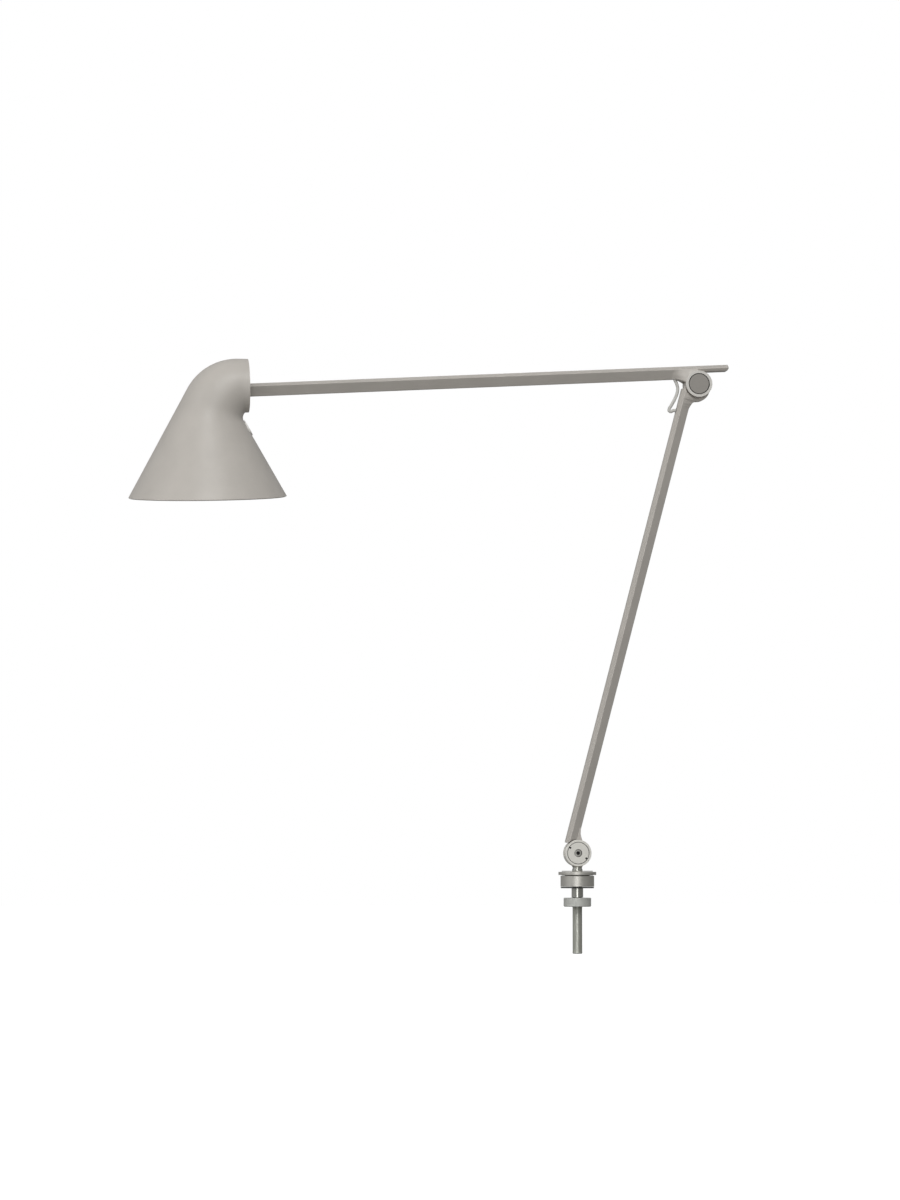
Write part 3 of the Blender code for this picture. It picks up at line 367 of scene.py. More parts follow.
BOARD = moulded("white_circuit_board", (228, 230, 226), 0.5)
LED = moulded("led_phosphor", (238, 214, 120), 0.4)
REFLECTOR = moulded("white_reflector", (240, 240, 236), 0.3, 0.8 * MM)
OPAL = moulded("opal_diffuser", (244, 243, 238), 0.38, 1.2 * MM)
OPAL.node_tree.nodes["Principled BSDF"].inputs["Subsurface Weight"].default_value = 0.3
OPAL.node_tree.nodes["Principled BSDF"].inputs["Subsurface Radius"].default_value = (0.004,) * 3
SWITCH = moulded("light_grey_plastic", (226, 224, 219), 0.35)

FINISH = {"grey_paint": PAINT, "cap_paint": CAP_PAINT, "bead_blasted_aluminium": CAST,
          "brushed_steel": STEEL, "knurled_steel": NUT_STEEL, "threaded_steel": THREAD,
          "bearing_bronze": BRASS, "black_rubber": RUBBER, "black_nylon": NYLON,
          "grey_cable": CABLE, "anodised_aluminium": SINK, "white_circuit_board": BOARD,
          "led_phosphor": LED, "white_reflector": REFLECTOR, "opal_diffuser": OPAL,
          "light_grey_plastic": SWITCH}


# ---------------------------------------------------------------- modelling tools
def new_object(name, mesh, matrix=WORLD):
    made = bpy.data.objects.new(name, mesh)
    made.matrix_world = matrix
    bpy.context.scene.collection.objects.link(made)
    return made


def mesh_from(name, build):
    """Mesh that build(bmesh) fills, with its faces turned outwards."""
    mesh = bpy.data.meshes.new(name)
    work = bmesh.new()
    build(work)
    bmesh.ops.recalc_face_normals(work, faces=work.faces)
    work.to_mesh(mesh)
    work.free()
    return mesh


def settle(piece):
    """Apply the modifiers of a piece to its mesh."""
    bpy.context.view_layer.update()
    depsgraph = bpy.context.evaluated_depsgraph_get()
    piece.data = bpy.data.meshes.new_from_object(piece.evaluated_get(depsgraph))
    piece.modifiers.clear()


def carve(piece, operation, *others):
    """Boolean the others into or out of the piece; the others go."""
    for other in others:
        modifier = piece.modifiers.new("carve", "BOOLEAN")
        modifier.operation = operation
        modifier.solver = "EXACT"
        modifier.object = other
        settle(piece)
        bpy.data.objects.remove(other)


def ease_edges(piece, width, angle=40.0, segments=3):
    modifier = piece.modifiers.new("ease", "BEVEL")
    modifier.width = width
    modifier.segments = segments
    modifier.limit_method = "ANGLE"
    modifier.angle_limit = radians(angle)
    modifier.use_clamp_overlap = True
    return piece


def into_world(piece):
    """Move the piece's place from its matrix into its mesh."""
    piece.data.transform(piece.matrix_world)
    piece.matrix_world = WORLD


def smooth(piece, crease):
    """Shade smooth, with edges sharper than the crease angle kept."""
    for face in piece.data.polygons:
        face.use_smooth = True
    piece.data.set_sharp_from_angle(angle=radians(crease))
    normals = piece.modifiers.new("normals", "WEIGHTED_NORMAL")
    normals.keep_sharp = True


def show(piece, paint, body, slot, node, crease=35.0):
    """Give the piece its finish and its body; it stands for the named CAD node."""
    settle(piece)
    if slot in ("grey_paint", "bead_blasted_aluminium"):
        into_world(piece)
    piece.data.materials.clear()
    piece.data.materials.append(paint)
    smooth(piece, crease)
    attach(piece, body)
    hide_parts(node)


def paint_lighting_onto(piece, place, material, chosen):
    """Painted light and shade on some faces of a joint, as a second material.

    chosen() gets a face's distance from the joint's axis, its distance from the joint's
    middle along the axis, and how squarely it faces along the axis (1 is square).
    """
    piece.data.materials.append(material)
    slot = len(piece.data.materials) - 1
    local = place.inverted() @ piece.matrix_world
    for face in piece.data.polygons:
        at = local @ face.center
        facing = abs((local.to_3x3() @ face.normal).normalized().y)
        if chosen(Vector((at.x, at.z)).length, abs(at.y), facing):
            face.material_index = slot


def soften(points, radius, closed=True):
    """Round the corners of a polyline with short curves."""
    steps = 4
    count = len(points)
    result = []
    for i, corner in enumerate(points):
        middle = Vector(corner)
        if not closed and i in (0, count - 1):
            result.append(middle)
            continue
        before = Vector(points[i - 1]) - middle
        after = Vector(points[(i + 1) % count]) - middle
        trim = min(radius, 0.45 * before.length, 0.45 * after.length)
        start = middle + before.normalized() * trim
        end = middle + after.normalized() * trim
        for k in range(steps + 1):
            t = k / steps
            result.append((1 - t) ** 2 * start + 2 * t * (1 - t) * middle + t ** 2 * end)
    return result


def arc(cx, cy, radius, start, end, steps):
    """Points on a circle, angles in degrees."""
    angles = [radians(start + (end - start) * i / steps) for i in range(steps + 1)]
    return [(cx + radius * cos(a), cy + radius * sin(a)) for a in angles]


def disc(radius, top, bottom):
    return [(0, top), (radius, top), (radius, bottom), (0, bottom)]


def ring(outer, inner, top, bottom):
    return [(outer, top), (outer, bottom), (inner, bottom), (inner, top)]


def turned(name, profile, matrix=WORLD, radius=0.3 * MM, steps=96):
    """Lathe a profile of (radius, height) points with eased corners."""
    closed = min(r for r, _ in profile) > 0
    points = soften(profile, radius, closed) if radius else [Vector(p) for p in profile]

    def build(work):
        rows = []
        for r, z in points:
            if r < 1e-7:
                rows.append([work.verts.new((0, 0, z))])
                continue
            rows.append([work.verts.new((r * cos(2 * pi * i / steps),
                                         r * sin(2 * pi * i / steps), z))
                         for i in range(steps)])
        pairs = list(zip(rows, rows[1:]))
        if closed:
            pairs.append((rows[-1], rows[0]))
        for upper, lower in pairs:
            for i in range(steps):
                j = (i + 1) % steps
                around = [upper[i % len(upper)], lower[i % len(lower)],
                          lower[j % len(lower)], upper[j % len(upper)]]
                around = list(dict.fromkeys(around))
                if len(around) > 2:
                    work.faces.new(around)

    return new_object(name, mesh_from(name, build), matrix)


def prism(name, outline, half, matrix=WORLD):
    """Flat outline extruded by half to both sides along its own Z."""
    def build(work):
        back = [work.verts.new((x, y, -half)) for x, y in outline]
        front = [work.verts.new((x, y, half)) for x, y in outline]
        work.faces.new(back)
        work.faces.new(front)
        for i in range(len(outline)):
            j = (i + 1) % len(outline)
            work.faces.new((back[i], back[j], front[j], front[i]))

    return new_object(name, mesh_from(name, build), matrix)


def loft(name, rows, matrix=WORLD):
    """Closed skin over rows of equally many points, with flat ends."""
    def build(work):
        made = [[work.verts.new(point) for point in row] for row in rows]
        work.faces.new(made[0])
        work.faces.new(made[-1])
        for first, second in zip(made, made[1:]):
            for i in range(len(first)):
                j = (i + 1) % len(first)
                work.faces.new((first[i], first[j], second[j], second[i]))

    return new_object(name, mesh_from(name, build), matrix)


def block(name, size, centre, matrix, rotation=WORLD):
    def build(work):
        bmesh.ops.create_cube(work, size=1.0)
        bmesh.ops.scale(work, vec=size, verts=work.verts)

    return new_object(name, mesh_from(name, build), matrix @ Matrix.Translation(centre) @ rotation)


def cross_bore(name, radius, half, matrix, steps=96):
    return turned(name, disc(radius, half, -half), matrix @ FACING_FRONT, 0, steps)


# ---------------------------------------------------------------- table mount
def threaded(name, matrix, top, bottom, outer, bore):
    """Tube with a real single-start thread and a plain chamfered end."""
    around = 48
    per_turn = 6
    plain = 1.2 * MM
    turns = (top - bottom) / THREAD_PITCH

    def build(work):
        rows = []
        for k in range(int(turns * per_turn) + 1):
            z = bottom + k * THREAD_PITCH / per_turn
            fade = min(1.0, max(0.0, (z - bottom - plain) / THREAD_PITCH))
            chamfer = max(0.0, 0.6 * MM - (z - bottom))
            row = []
            for i in range(around):
                phase = (z / THREAD_PITCH + i / around) % 1.0
                groove = max(0.0, 1.6 * abs(2 * phase - 1) - 0.6)
                depth = THREAD_DEPTH * fade * groove
                r = outer - depth - chamfer
                row.append(work.verts.new((r * cos(2 * pi * i / around),
                                           r * sin(2 * pi * i / around), z)))
            rows.append(row)
        for height in (rows[-1][0].co.z, bottom):
            rows.append([work.verts.new((bore * cos(2 * pi * i / around),
                                         bore * sin(2 * pi * i / around), height))
                         for i in range(around)])
        for first, second in zip(rows, rows[1:] + rows[:1]):
            for i in range(around):
                j = (i + 1) % around
                work.faces.new((first[i], first[j], second[j], second[i]))

    return new_object(name, mesh_from(name, build), matrix)


def knurled(name, matrix, radius, top, bottom, bore, edge, recess):
    """Round nut whose side carries a diamond knurl, with a recess in its top."""
    around = KNURLS * 5
    height = top - bottom
    levels = 36

    def build(work):
        rows = []
        for k in range(levels + 1):
            s = k / levels
            z = top - s * height
            fall = min(z - bottom, top - z)
            ease = max(0.0, edge - fall)
            body = radius - (edge - sqrt(max(edge ** 2 - ease ** 2, 0.0)))
            fade = min(1.0, fall / (1.1 * edge))
            row = []
            for i in range(around):
                turn = 2 * pi * i / around
                lean = z / radius * KNURL_LEAN
                a = abs(sin((turn + lean) * KNURLS / 2))
                b = abs(sin((turn - lean) * KNURLS / 2))
                r = body - KNURL_DEPTH * fade * (1 - min(a, b))
                row.append(work.verts.new((r * cos(turn), r * sin(turn), z)))
            rows.append(row)
        for r, z in ((bore, bottom), (bore, recess[1]), recess, (recess[0], top)):
            rows.append([work.verts.new((r * cos(2 * pi * i / around),
                                         r * sin(2 * pi * i / around), z))
                         for i in range(around)])
        for first, second in zip(rows, rows[1:] + rows[:1]):
            for i in range(around):
                j = (i + 1) % around
                work.faces.new((first[i], first[j], second[j], second[i]))

    return new_object(name, mesh_from(name, build), matrix)


def table_mount():
    show(turned("foot_pad_skin", ring(FOOT_PAD_R, COLLAR_R + 2 * GAP, FOOT_PAD_T, 0), WORLD,
                0.25 * MM), RUBBER, "table_mount", "black_rubber", "foot_pad")
    show(turned("puck_skin",
                [(PUCK_R, PUCK_TOP), (PUCK_R, FOOT_PAD_T + GAP), (TUBE_R + GAP, FOOT_PAD_T + GAP),
                 (TUBE_R + GAP, PUCK_FLOOR), (CAVITY_R, PUCK_FLOOR), (CAVITY_R, PUCK_TOP)],
                WORLD, 0.3 * MM, 128), STEEL, "table_mount", "brushed_steel", "puck_body")
    bush_bore = POST_R + 1.7 * MM
    show(turned("puck_cap_skin",
                [(FLANGE_R, FLANGE_TOP), (FLANGE_R, FLANGE_BOTTOM), (SPIGOT_R, FLANGE_BOTTOM),
                 (SPIGOT_R, PUCK_TOP + GAP), (CAVITY_R - GAP, PUCK_TOP + GAP),
                 (CAVITY_R - GAP, SPIGOT_BOTTOM), (bush_bore, SPIGOT_BOTTOM),
                 (bush_bore, FLANGE_TOP)], WORLD, 0.35 * MM, 128),
         STEEL, "table_mount", "brushed_steel", "puck_cap")
    show(threaded("threaded_rod", WORLD, TUBE_TOP, TUBE_BOTTOM, TUBE_R, TUBE_BORE_R),
         THREAD, "table_mount", "threaded_steel", "threaded_tube", crease=60)
    show(turned("collar_skin", ring(COLLAR_R, TUBE_R + GAP, FOOT_PAD_T, COLLAR_BOTTOM), WORLD,
                0.2 * MM), POLISHED, "table_mount", "brushed_steel", "table_collar")
    low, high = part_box("clamp_washer")
    show(turned("clamp_washer_skin", ring(high.x, COLLAR_R, high.z, low.z), WORLD, 0.25 * MM),
         STEEL, "clamp_washer", "brushed_steel", "clamp_washer")
    recess = (high.x + GAP, low.z - GAP)
    low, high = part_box("clamp_nut")
    show(knurled("clamp_nut_skin", WORLD, NUT_R, high.z, low.z, TUBE_R + GAP, 0.9 * MM, recess),
         NUT_STEEL, "clamp_nut", "knurled_steel", "clamp_nut", crease=50)


# ---------------------------------------------------------------- swivel
def swivel():
    drum = turned("base_drum", disc(DRUM_R, DRUM_HALF, -DRUM_HALF), SWIVEL @ FACING_FRONT,
                  0.55 * MM, 128)
    flare = [(0, 25 * MM), (6.9 * MM, 25 * MM), (5.9 * MM, 22.6 * MM), (4.9 * MM, 21.4 * MM),
             (4.65 * MM, 20.4 * MM), (4.7 * MM, 19.6 * MM), (5.2 * MM, 18.9 * MM),
             (POST_R, 9.6 * MM), (4.4 * MM, 9.45 * MM), (4.4 * MM, 8.45 * MM),
             (POST_R, 8.4 * MM), (POST_R, 8 * MM), (0, 8 * MM)]
    post = turned("post_blank", flare, WORLD, 0.4 * MM, 64)
    carve(drum, "UNION", post)
    slot_height = 20 * MM
    carve(drum, "DIFFERENCE",
          block("slot_top", (40 * MM, 2 * DRUM_SLOT_HALF, slot_height),
                (0, 0, DRUM_SLOT_FLOOR + slot_height / 2), SWIVEL),
          cross_bore("slot_hub", HUB_R + 0.4 * MM, DRUM_SLOT_HALF, SWIVEL))
    for rotation in (FACING_FRONT, FACING_BACK):
        carve(drum, "DIFFERENCE",
              turned("cap_room", disc(CAP_ROOM_R, DRUM_HALF + 1 * MM, DRUM_HALF - CAP_RECESS),
                     SWIVEL @ rotation, 0, 128))
    carve(drum, "DIFFERENCE", cross_bore("pin_room", PIN_R + GAP, 20 * MM, SWIVEL),
          turned("lead_room", disc(3 * MM, 30 * MM, 0), WORLD, 0, 48))
    show(ease_edges(drum, 0.25 * MM, 50, 2), CAST, "swivel", "bead_blasted_aluminium",
         "swivel_fork")
    drum.data.materials.append(POLISHED)
    for face in drum.data.polygons:
        face.material_index = int(face.center.z < POST_POLISH_TOP)
    # painted shade: the walls and floor of the cap's recess in the drum are black, standing for
    # the shadow in the gap
    paint_lighting_onto(drum, SWIVEL, PAINTED_SHADE, lambda r, depth, facing: r < CAP_ROOM_R + 0.05 * MM
            and DRUM_HALF - CAP_RECESS - 0.1 * MM < depth < DRUM_HALF - 0.3 * MM)
    show(turned("swivel_cover_skin", ring(COVER_R, POST_R + GAP, COVER_TOP, FLANGE_TOP + GAP),
                WORLD, 0.3 * MM, 128), STEEL, "swivel", "brushed_steel", "swivel_cover")

    cap_outer = DRUM_HALF - 0.1 * MM
    cap_inner = DRUM_HALF - CAP_RECESS + GAP
    key_offset = DRUM_CAP_R - 1.1 * MM
    for side, rotation, bore, key_angle in (("front", FACING_FRONT, 3.85 * MM, 147),
                                            ("rear", FACING_BACK, 5.4 * MM, 33)):
        cap = turned("drum_cap_skin_" + side,
                     ring(DRUM_CAP_R - 0.1 * MM, bore, cap_outer, cap_inner),
                     SWIVEL @ rotation, 0.25 * MM, 128)
        for turn in (0, 180):
            angle = radians(key_angle + turn)
            at = Vector((key_offset * cos(angle), 0, key_offset * sin(angle)))
            carve(cap, "DIFFERENCE", cross_bore("key_hole", KEY_HOLE_R, 12 * MM,
                                                SWIVEL @ Matrix.Translation(at), 32))
        show(cap, CAST, "swivel", "bead_blasted_aluminium", "drum_cap_" + side)
        # painted shadow: the caps' side walls and key holes are black, standing for the shade in
        # the gap round them
        paint_lighting_onto(cap, SWIVEL, PAINTED_SHADE, lambda r, depth, facing: facing < 0.3)
    bolt_end = -DRUM_HALF + 0.5 * MM
    bolt = turned("base_bolt_skin",
                  [(0, BOLT_HEAD_TOP), (BOLT_HEAD_R, BOLT_HEAD_TOP), (BOLT_HEAD_R, cap_inner),
                   (PIN_R, cap_inner), (PIN_R, bolt_end), (0, bolt_end)],
                  SWIVEL @ FACING_FRONT, 0.35 * MM, 64)
    carve(bolt, "DIFFERENCE",
          turned("socket", disc(SOCKET_R, 12 * MM, BOLT_HEAD_TOP - 2.6 * MM),
                 SWIVEL @ FACING_FRONT, 0, 6))
    show(bolt, BOLT_STEEL, "swivel", "brushed_steel", "base_bolt")
    # painted shade: the hexagon socket is black, standing for the shadow inside it
    paint_lighting_onto(bolt, SWIVEL, PAINTED_SHADE, lambda r, depth, facing: r < SOCKET_R + 0.2 * MM
            and depth < BOLT_HEAD_TOP - 0.1 * MM)


# ---------------------------------------------------------------- arms
def bar_outline(outer_face, side, depth=BAR_H):
    """Section of the arm's bar as (across, height), with eased corners."""
    half = [(BAR_OUTER_HALF, 0.0), (BAR_RIDGE_HALF, BAR_RIDGE_DROP), (BAR_INNER_HALF, depth)]
    whole = half + [(-x, y) for x, y in reversed(half)]
    return [(x, outer_face + side * y) for x, y in soften(whole, 0.6 * MM)]


def upright_bar(name, start, end):
    """Lower arm's bar, along the local Z."""
    rows = [[(h, a, z) for a, h in bar_outline(-LOWER_OFFSET, 1)] for z in (start, end)]
    return loft(name, rows, LOWER)


def level_bar(name, start, end):
    """Upper arm's bar, along the local X."""
    rows = [[(x, a, h) for a, h in bar_outline(UPPER_OFFSET, -1, UPPER_BAR_H)]
            for x in (start, end)]
    return loft(name, rows, UPPER)


def tongue_outline():
    """Foot casting of the lower arm: hub, waist and the part inside the bar."""
    left = -LOWER_OFFSET + 1.9 * MM
    waist = [(-5.1 * MM, 44 * MM), (-5.1 * MM, 27 * MM), (-2.9 * MM, 24.5 * MM),
             (-1.9 * MM, 19.3 * MM), (0.6 * MM, 14.6 * MM), (4.2 * MM, 10.6 * MM)]
    hub = arc(0, 0, HUB_R, 45, -200, 84)
    return waist + hub + [(left, 11 * MM), (left, 44 * MM)]


def eye_outline():
    """Round end of the lower arm, hanging a little below the elbow pivot."""
    over_top = arc(0, 0, EYE_R, 175, 0, 64)
    under = arc(0, -EYE_DROP, EYE_R, 0, -78, 32)
    return over_top + under + [(-6 * MM, under[-1][1]), (-LOWER_OFFSET + 1.9 * MM, -9 * MM)]


def smooth_step(t):
    t = min(max(t, 0.0), 1.0)
    return t * t * (3 - 2 * t)


def melt(piece, iterations):
    """Run the piece's parts into one another like a casting."""
    remesh = piece.modifiers.new("skin", "REMESH")
    remesh.mode = "VOXEL"
    remesh.voxel_size = VOXEL
    ease = piece.modifiers.new("melt", "SMOOTH")
    ease.factor = 0.5
    ease.iterations = iterations
    settle(piece)


def eye_web():
    """Flank that carries the bar's side facets out to the eye, in the elbow frame."""
    ridge_x = -LOWER_OFFSET + BAR_RIDGE_DROP
    edge = [(-29, -2.7), (-26, -2.5), (-23.4, -1.9), (-20.2, -0.9), (-18, 0.9), (-16.5, 4.2),
            (-14.5, 7.0), (-12, 9.6), (-8, 11.6)]
    rows = []
    for z, x in edge:
        grown = smooth_step((z + 28) / 15)
        half = BAR_INNER_HALF + grown * (EYE_HALF - 0.1 * MM - BAR_INNER_HALF)
        flank = BAR_RIDGE_HALF - 0.15 * MM
        rows.append([(x * MM, -half, z * MM), (x * MM, half, z * MM),
                     (ridge_x, flank, z * MM), (ridge_x, -flank, z * MM)])
    return loft("eye_web", rows, ELBOW_END)


def lower_arm():
    seam_z = ARM_PITCH - EYE_ROOT
    bar = upright_bar("lower_bar_skin", 7.5 * MM, seam_z - SEAM)
    foot_slot = prism("foot_slot", tongue_outline(), TONGUE_HALF + GAP, LOWER @ UPRIGHT)
    cable_at = LOWER @ Matrix.Translation((0, 0, ARM_PITCH - CABLE_ENTRY_DROP))
    carve(bar, "DIFFERENCE", cross_bore("drum_room", DRUM_R + 1.2 * MM, 20 * MM, LOWER), foot_slot,
          turned("cable_hole", disc(2.9 * MM, 20 * MM, 9 * MM), cable_at @ ALONG_MINUS_X, 0, 48))
    show(ease_edges(bar, 0.35 * MM, 50), PAINT, "lower_arm", "grey_paint", "lower_arm_bar")

    foot = prism("lower_foot_skin", tongue_outline(), TONGUE_HALF, LOWER @ UPRIGHT)
    carve(foot, "DIFFERENCE", cross_bore("foot_bore", BUSH_ROOM_R, 20 * MM, LOWER))
    show(ease_edges(foot, 0.5 * MM, 60), PAINT, "lower_arm", "grey_paint",
         "lower_arm_foot")

    eye = upright_bar("lower_eye_skin", seam_z - 2 * MM, ARM_PITCH - 8 * MM)
    carve(eye, "UNION", eye_web())
    for rotation in (FACING_FRONT, FACING_BACK):
        carve(eye, "DIFFERENCE",
              turned("ring_room", disc(RING_R + 1 * MM, 20 * MM, EYE_HALF + 0.05 * MM),
                     ELBOW_END @ rotation, 0, 96))
    carve(eye, "UNION", prism("eye_plate", eye_outline(), EYE_HALF, ELBOW_END @ UPRIGHT))
    melt(eye, 9)
    carve(eye, "DIFFERENCE", cross_bore("eye_bore", BUSH_ROOM_R, 20 * MM, ELBOW_END),
          block("eye_trim", (40 * MM, 40 * MM, 10 * MM), (0, 0, seam_z - 5 * MM), LOWER))
    show(eye, PAINT, "lower_arm", "grey_paint", "lower_arm_eye", crease=50)
    show(turned("grommet_skin",
                [(2.6 * MM, LOWER_OFFSET - 1.6 * MM), (CABLE_R + GAP, LOWER_OFFSET - 1.6 * MM),
                 (CABLE_R + GAP, LOWER_OFFSET + 0.2 * MM), (2.6 * MM, LOWER_OFFSET + 0.2 * MM)],
                cable_at @ ALONG_MINUS_X, 0.3 * MM, 48),
         RUBBER, "lower_arm", "black_rubber", "cable_grommet")


def cheek_web(sign):
    """Flank that swells from the bar's side facet out to the face of the pivot ring."""
    first, last, count = -31 * MM, 0, 31
    inner_face = UPPER_OFFSET - UPPER_BAR_H
    ridge = UPPER_OFFSET - BAR_RIDGE_DROP
    face_y = CHEEK_OUTER - RING_STEP
    facet_z = (inner_face + ridge) / 2
    facet_y = (BAR_INNER_HALF + BAR_RIDGE_HALF) / 2 - 0.15 * MM
    near = 0.4 * MM
    rows = []
    for k in range(count + 1):
        x = first + (last - first) * k / count
        out = smooth_step((x + 28 * MM) / (17 * MM))
        flare = min(max((x + 25 * MM) / (12 * MM), 0.0), 1.0)
        low_z = inner_face + 0.1 * MM - 4.0 * MM * flare ** 2
        low_y = BAR_INNER_HALF + out * (face_y - BAR_INNER_HALF)
        rim_z = min(sqrt(RING_R ** 2 - max(x, -11 * MM) ** 2), 12.9 * MM)
        face_z = facet_z + out * (rim_z - facet_z)
        top_y = BAR_RIDGE_HALF - 0.15 * MM
        rows.append([(x, sign * near, low_z), (x, sign * low_y, low_z),
                     (x, sign * (facet_y + out * (face_y - facet_y)), face_z),
                     (x, sign * top_y, ridge - 0.1 * MM), (x, sign * near, ridge - 0.1 * MM)])
    return loft("web", rows, UPPER)


def upper_arm():
    trim = 2 * MM
    show(level_bar("upper_bar_skin", -HEAD_END, -FORK_ROOT - SEAM), PAINT, "upper_arm",
         "grey_paint", "upper_arm_bar")
    fork = level_bar("elbow_fork_skin", -FORK_ROOT - trim, TAIL_LENGTH)
    carve(fork, "DIFFERENCE",
          block("undercut", (60 * MM, 40 * MM, 40 * MM),
                (32 * MM, 0, TAIL_UNDERSIDE - 20 * MM), UPPER),
          block("tail_end", (20 * MM, 40 * MM, 40 * MM),
                (TAIL_LENGTH + 10.2 * MM, 0, TAIL_UNDERSIDE), UPPER, about_y(radians(30))))
    carve(fork, "UNION", cheek_web(-1), cheek_web(1))
    melt(fork, 14)
    for rotation in (FACING_FRONT, FACING_BACK):
        carve(fork, "UNION", turned("boss", disc(RING_R, CHEEK_OUTER, CHEEK_INNER - 0.7 * MM),
                                    UPPER @ rotation, 0.3 * MM, 128))
    exit_at = UPPER @ Matrix.Translation((CABLE_EXIT_X, 0, 0))
    carve(fork, "DIFFERENCE", cross_bore("eye_room", EYE_R + 0.5 * MM, CHEEK_INNER, UPPER),
          block("folded_room", FOLDED_ROOM, FOLDED_ROOM_AT, UPPER),
          turned("lead_exit", disc(2.4 * MM, BAR_AXIS_RISE, 0), exit_at, 0, 48),
          block("trim", (10 * MM, 40 * MM, 40 * MM), (-FORK_ROOT - 5 * MM, 0, UPPER_OFFSET),
                UPPER))
    for rotation in (FACING_FRONT, FACING_BACK):
        carve(fork, "DIFFERENCE",
              turned("cap_room", disc(ELBOW_CAP_ROOM_R, CHEEK_OUTER + 1 * MM,
                                      CHEEK_OUTER - ELBOW_CAP_RECESS), UPPER @ rotation, 0, 128))
    show(fork, PAINT, "upper_arm", "grey_paint", "elbow_fork", crease=50)
    # painted shade: the cap recess in the fork is black, standing for the shadow in the gap
    paint_lighting_onto(fork, UPPER, PAINTED_SHADE, lambda r, depth, facing: r < ELBOW_CAP_ROOM_R + 0.05 * MM
            and CHEEK_OUTER - ELBOW_CAP_RECESS - 0.1 * MM < depth < CHEEK_OUTER - 0.25 * MM)
    # painted light: the pivot ring's face gets the lighter, lit copy of the grey paint
    paint_lighting_onto(fork, UPPER, LIT_RING_PAINT, lambda r, depth, facing: r < RING_R + 0.05 * MM
            and depth > CHEEK_OUTER - 0.65 * MM)

    for side, rotation in (("front", FACING_FRONT), ("rear", FACING_BACK)):
        cap = turned("elbow_cap_skin_" + side,
                     disc(ELBOW_CAP_R, CHEEK_OUTER - 0.2 * MM, CHEEK_OUTER - 1.2 * MM),
                     UPPER @ rotation, 0.3 * MM, 96)
        show(cap, CAP_PAINT, "upper_arm", "cap_paint", "elbow_cap_" + side)
        # painted shadow: the caps' side walls are black, standing for the shade in the gap round
        # them
        paint_lighting_onto(cap, UPPER, PAINTED_SHADE, lambda r, depth, facing: facing < 0.3)
        show(turned("elbow_washer_skin_" + side,
                    ring(10.5 * MM, 3.2 * MM, CHEEK_INNER - 0.25 * MM, EYE_HALF + 0.25 * MM),
                    UPPER @ rotation, 0.1 * MM, 64),
             NYLON, "upper_arm", "black_nylon", "elbow_washer_" + side)


def smooth_path(points):
    """Points on a Catmull-Rom curve through the given ones."""
    per_span = 6
    ends = [2 * Vector(points[0]) - Vector(points[1])]
    ends += [Vector(p) for p in points]
    ends.append(2 * Vector(points[-1]) - Vector(points[-2]))
    path = []
    for i in range(1, len(ends) - 2):
        a, b, c, d = ends[i - 1:i + 3]
        for k in range(per_span):
            t = k / per_span
            path.append(0.5 * (2 * b + (c - a) * t + (2 * a - 5 * b + 4 * c - d) * t ** 2
                               + (3 * b - a - 3 * c + d) * t ** 3))
    path.append(Vector(points[-1]))
    return path


def elbow_cable():
    """Lead that bows out of the fork's underside and goes square into the lower bar."""
    entry_z = ARM_PITCH - CABLE_ENTRY_DROP
    leave = UPPER @ Vector((CABLE_EXIT_X, 0, 8.0 * MM))
    enter = LOWER @ Vector((-LOWER_OFFSET - 1.5 * MM, 0, entry_z))
    route = [UPPER @ Vector((CABLE_EXIT_X, 0, BAR_AXIS_RISE - 2.2 * MM)), leave]
    bow = [(-23.6, 6.0), (-23.0, 4.4), (-21.6, 1.6), (-20.3, -2.6), (-20.3, -6.4),
           (-21.3, -10.4), (-23.6, -15.6), (-26.6, -20.9), (-28.7, -24.2), (-29.0, -26.4),
           (-27.2, -27.5)]
    route += [ELBOW_PIVOT + Vector((x * MM, 0, z * MM)) for x, z in bow]
    route += [enter, LOWER @ Vector((-LOWER_OFFSET + BAR_H / 2 - 2.2 * MM, 0, entry_z))]
    curve = bpy.data.curves.new("elbow_lead", "CURVE")
    curve.dimensions = "3D"
    curve.bevel_depth = CABLE_R
    curve.bevel_resolution = 5
    curve.use_fill_caps = True
    path = smooth_path(route)
    spline = curve.splines.new("POLY")
    spline.points.add(len(path) - 1)
    for point, place in zip(spline.points, path):
        point.co = (*place, 1)
    guide = new_object("elbow_lead_route", curve)
    bpy.context.view_layer.update()
    depsgraph = bpy.context.evaluated_depsgraph_get()
    mesh = bpy.data.meshes.new_from_object(guide.evaluated_get(depsgraph))
    bpy.data.objects.remove(guide)
    work = bmesh.new()
    work.from_mesh(mesh)
    bmesh.ops.remove_doubles(work, verts=work.verts, dist=1e-6)
    bmesh.ops.recalc_face_normals(work, faces=work.faces)
    work.to_mesh(mesh)
    work.free()
    mesh.materials.clear()
    mesh.materials.append(CABLE)
    for face in mesh.polygons:
        face.use_smooth = True
    lead = new_object("elbow_lead", mesh)
    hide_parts("elbow_cable")
    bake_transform(lead)


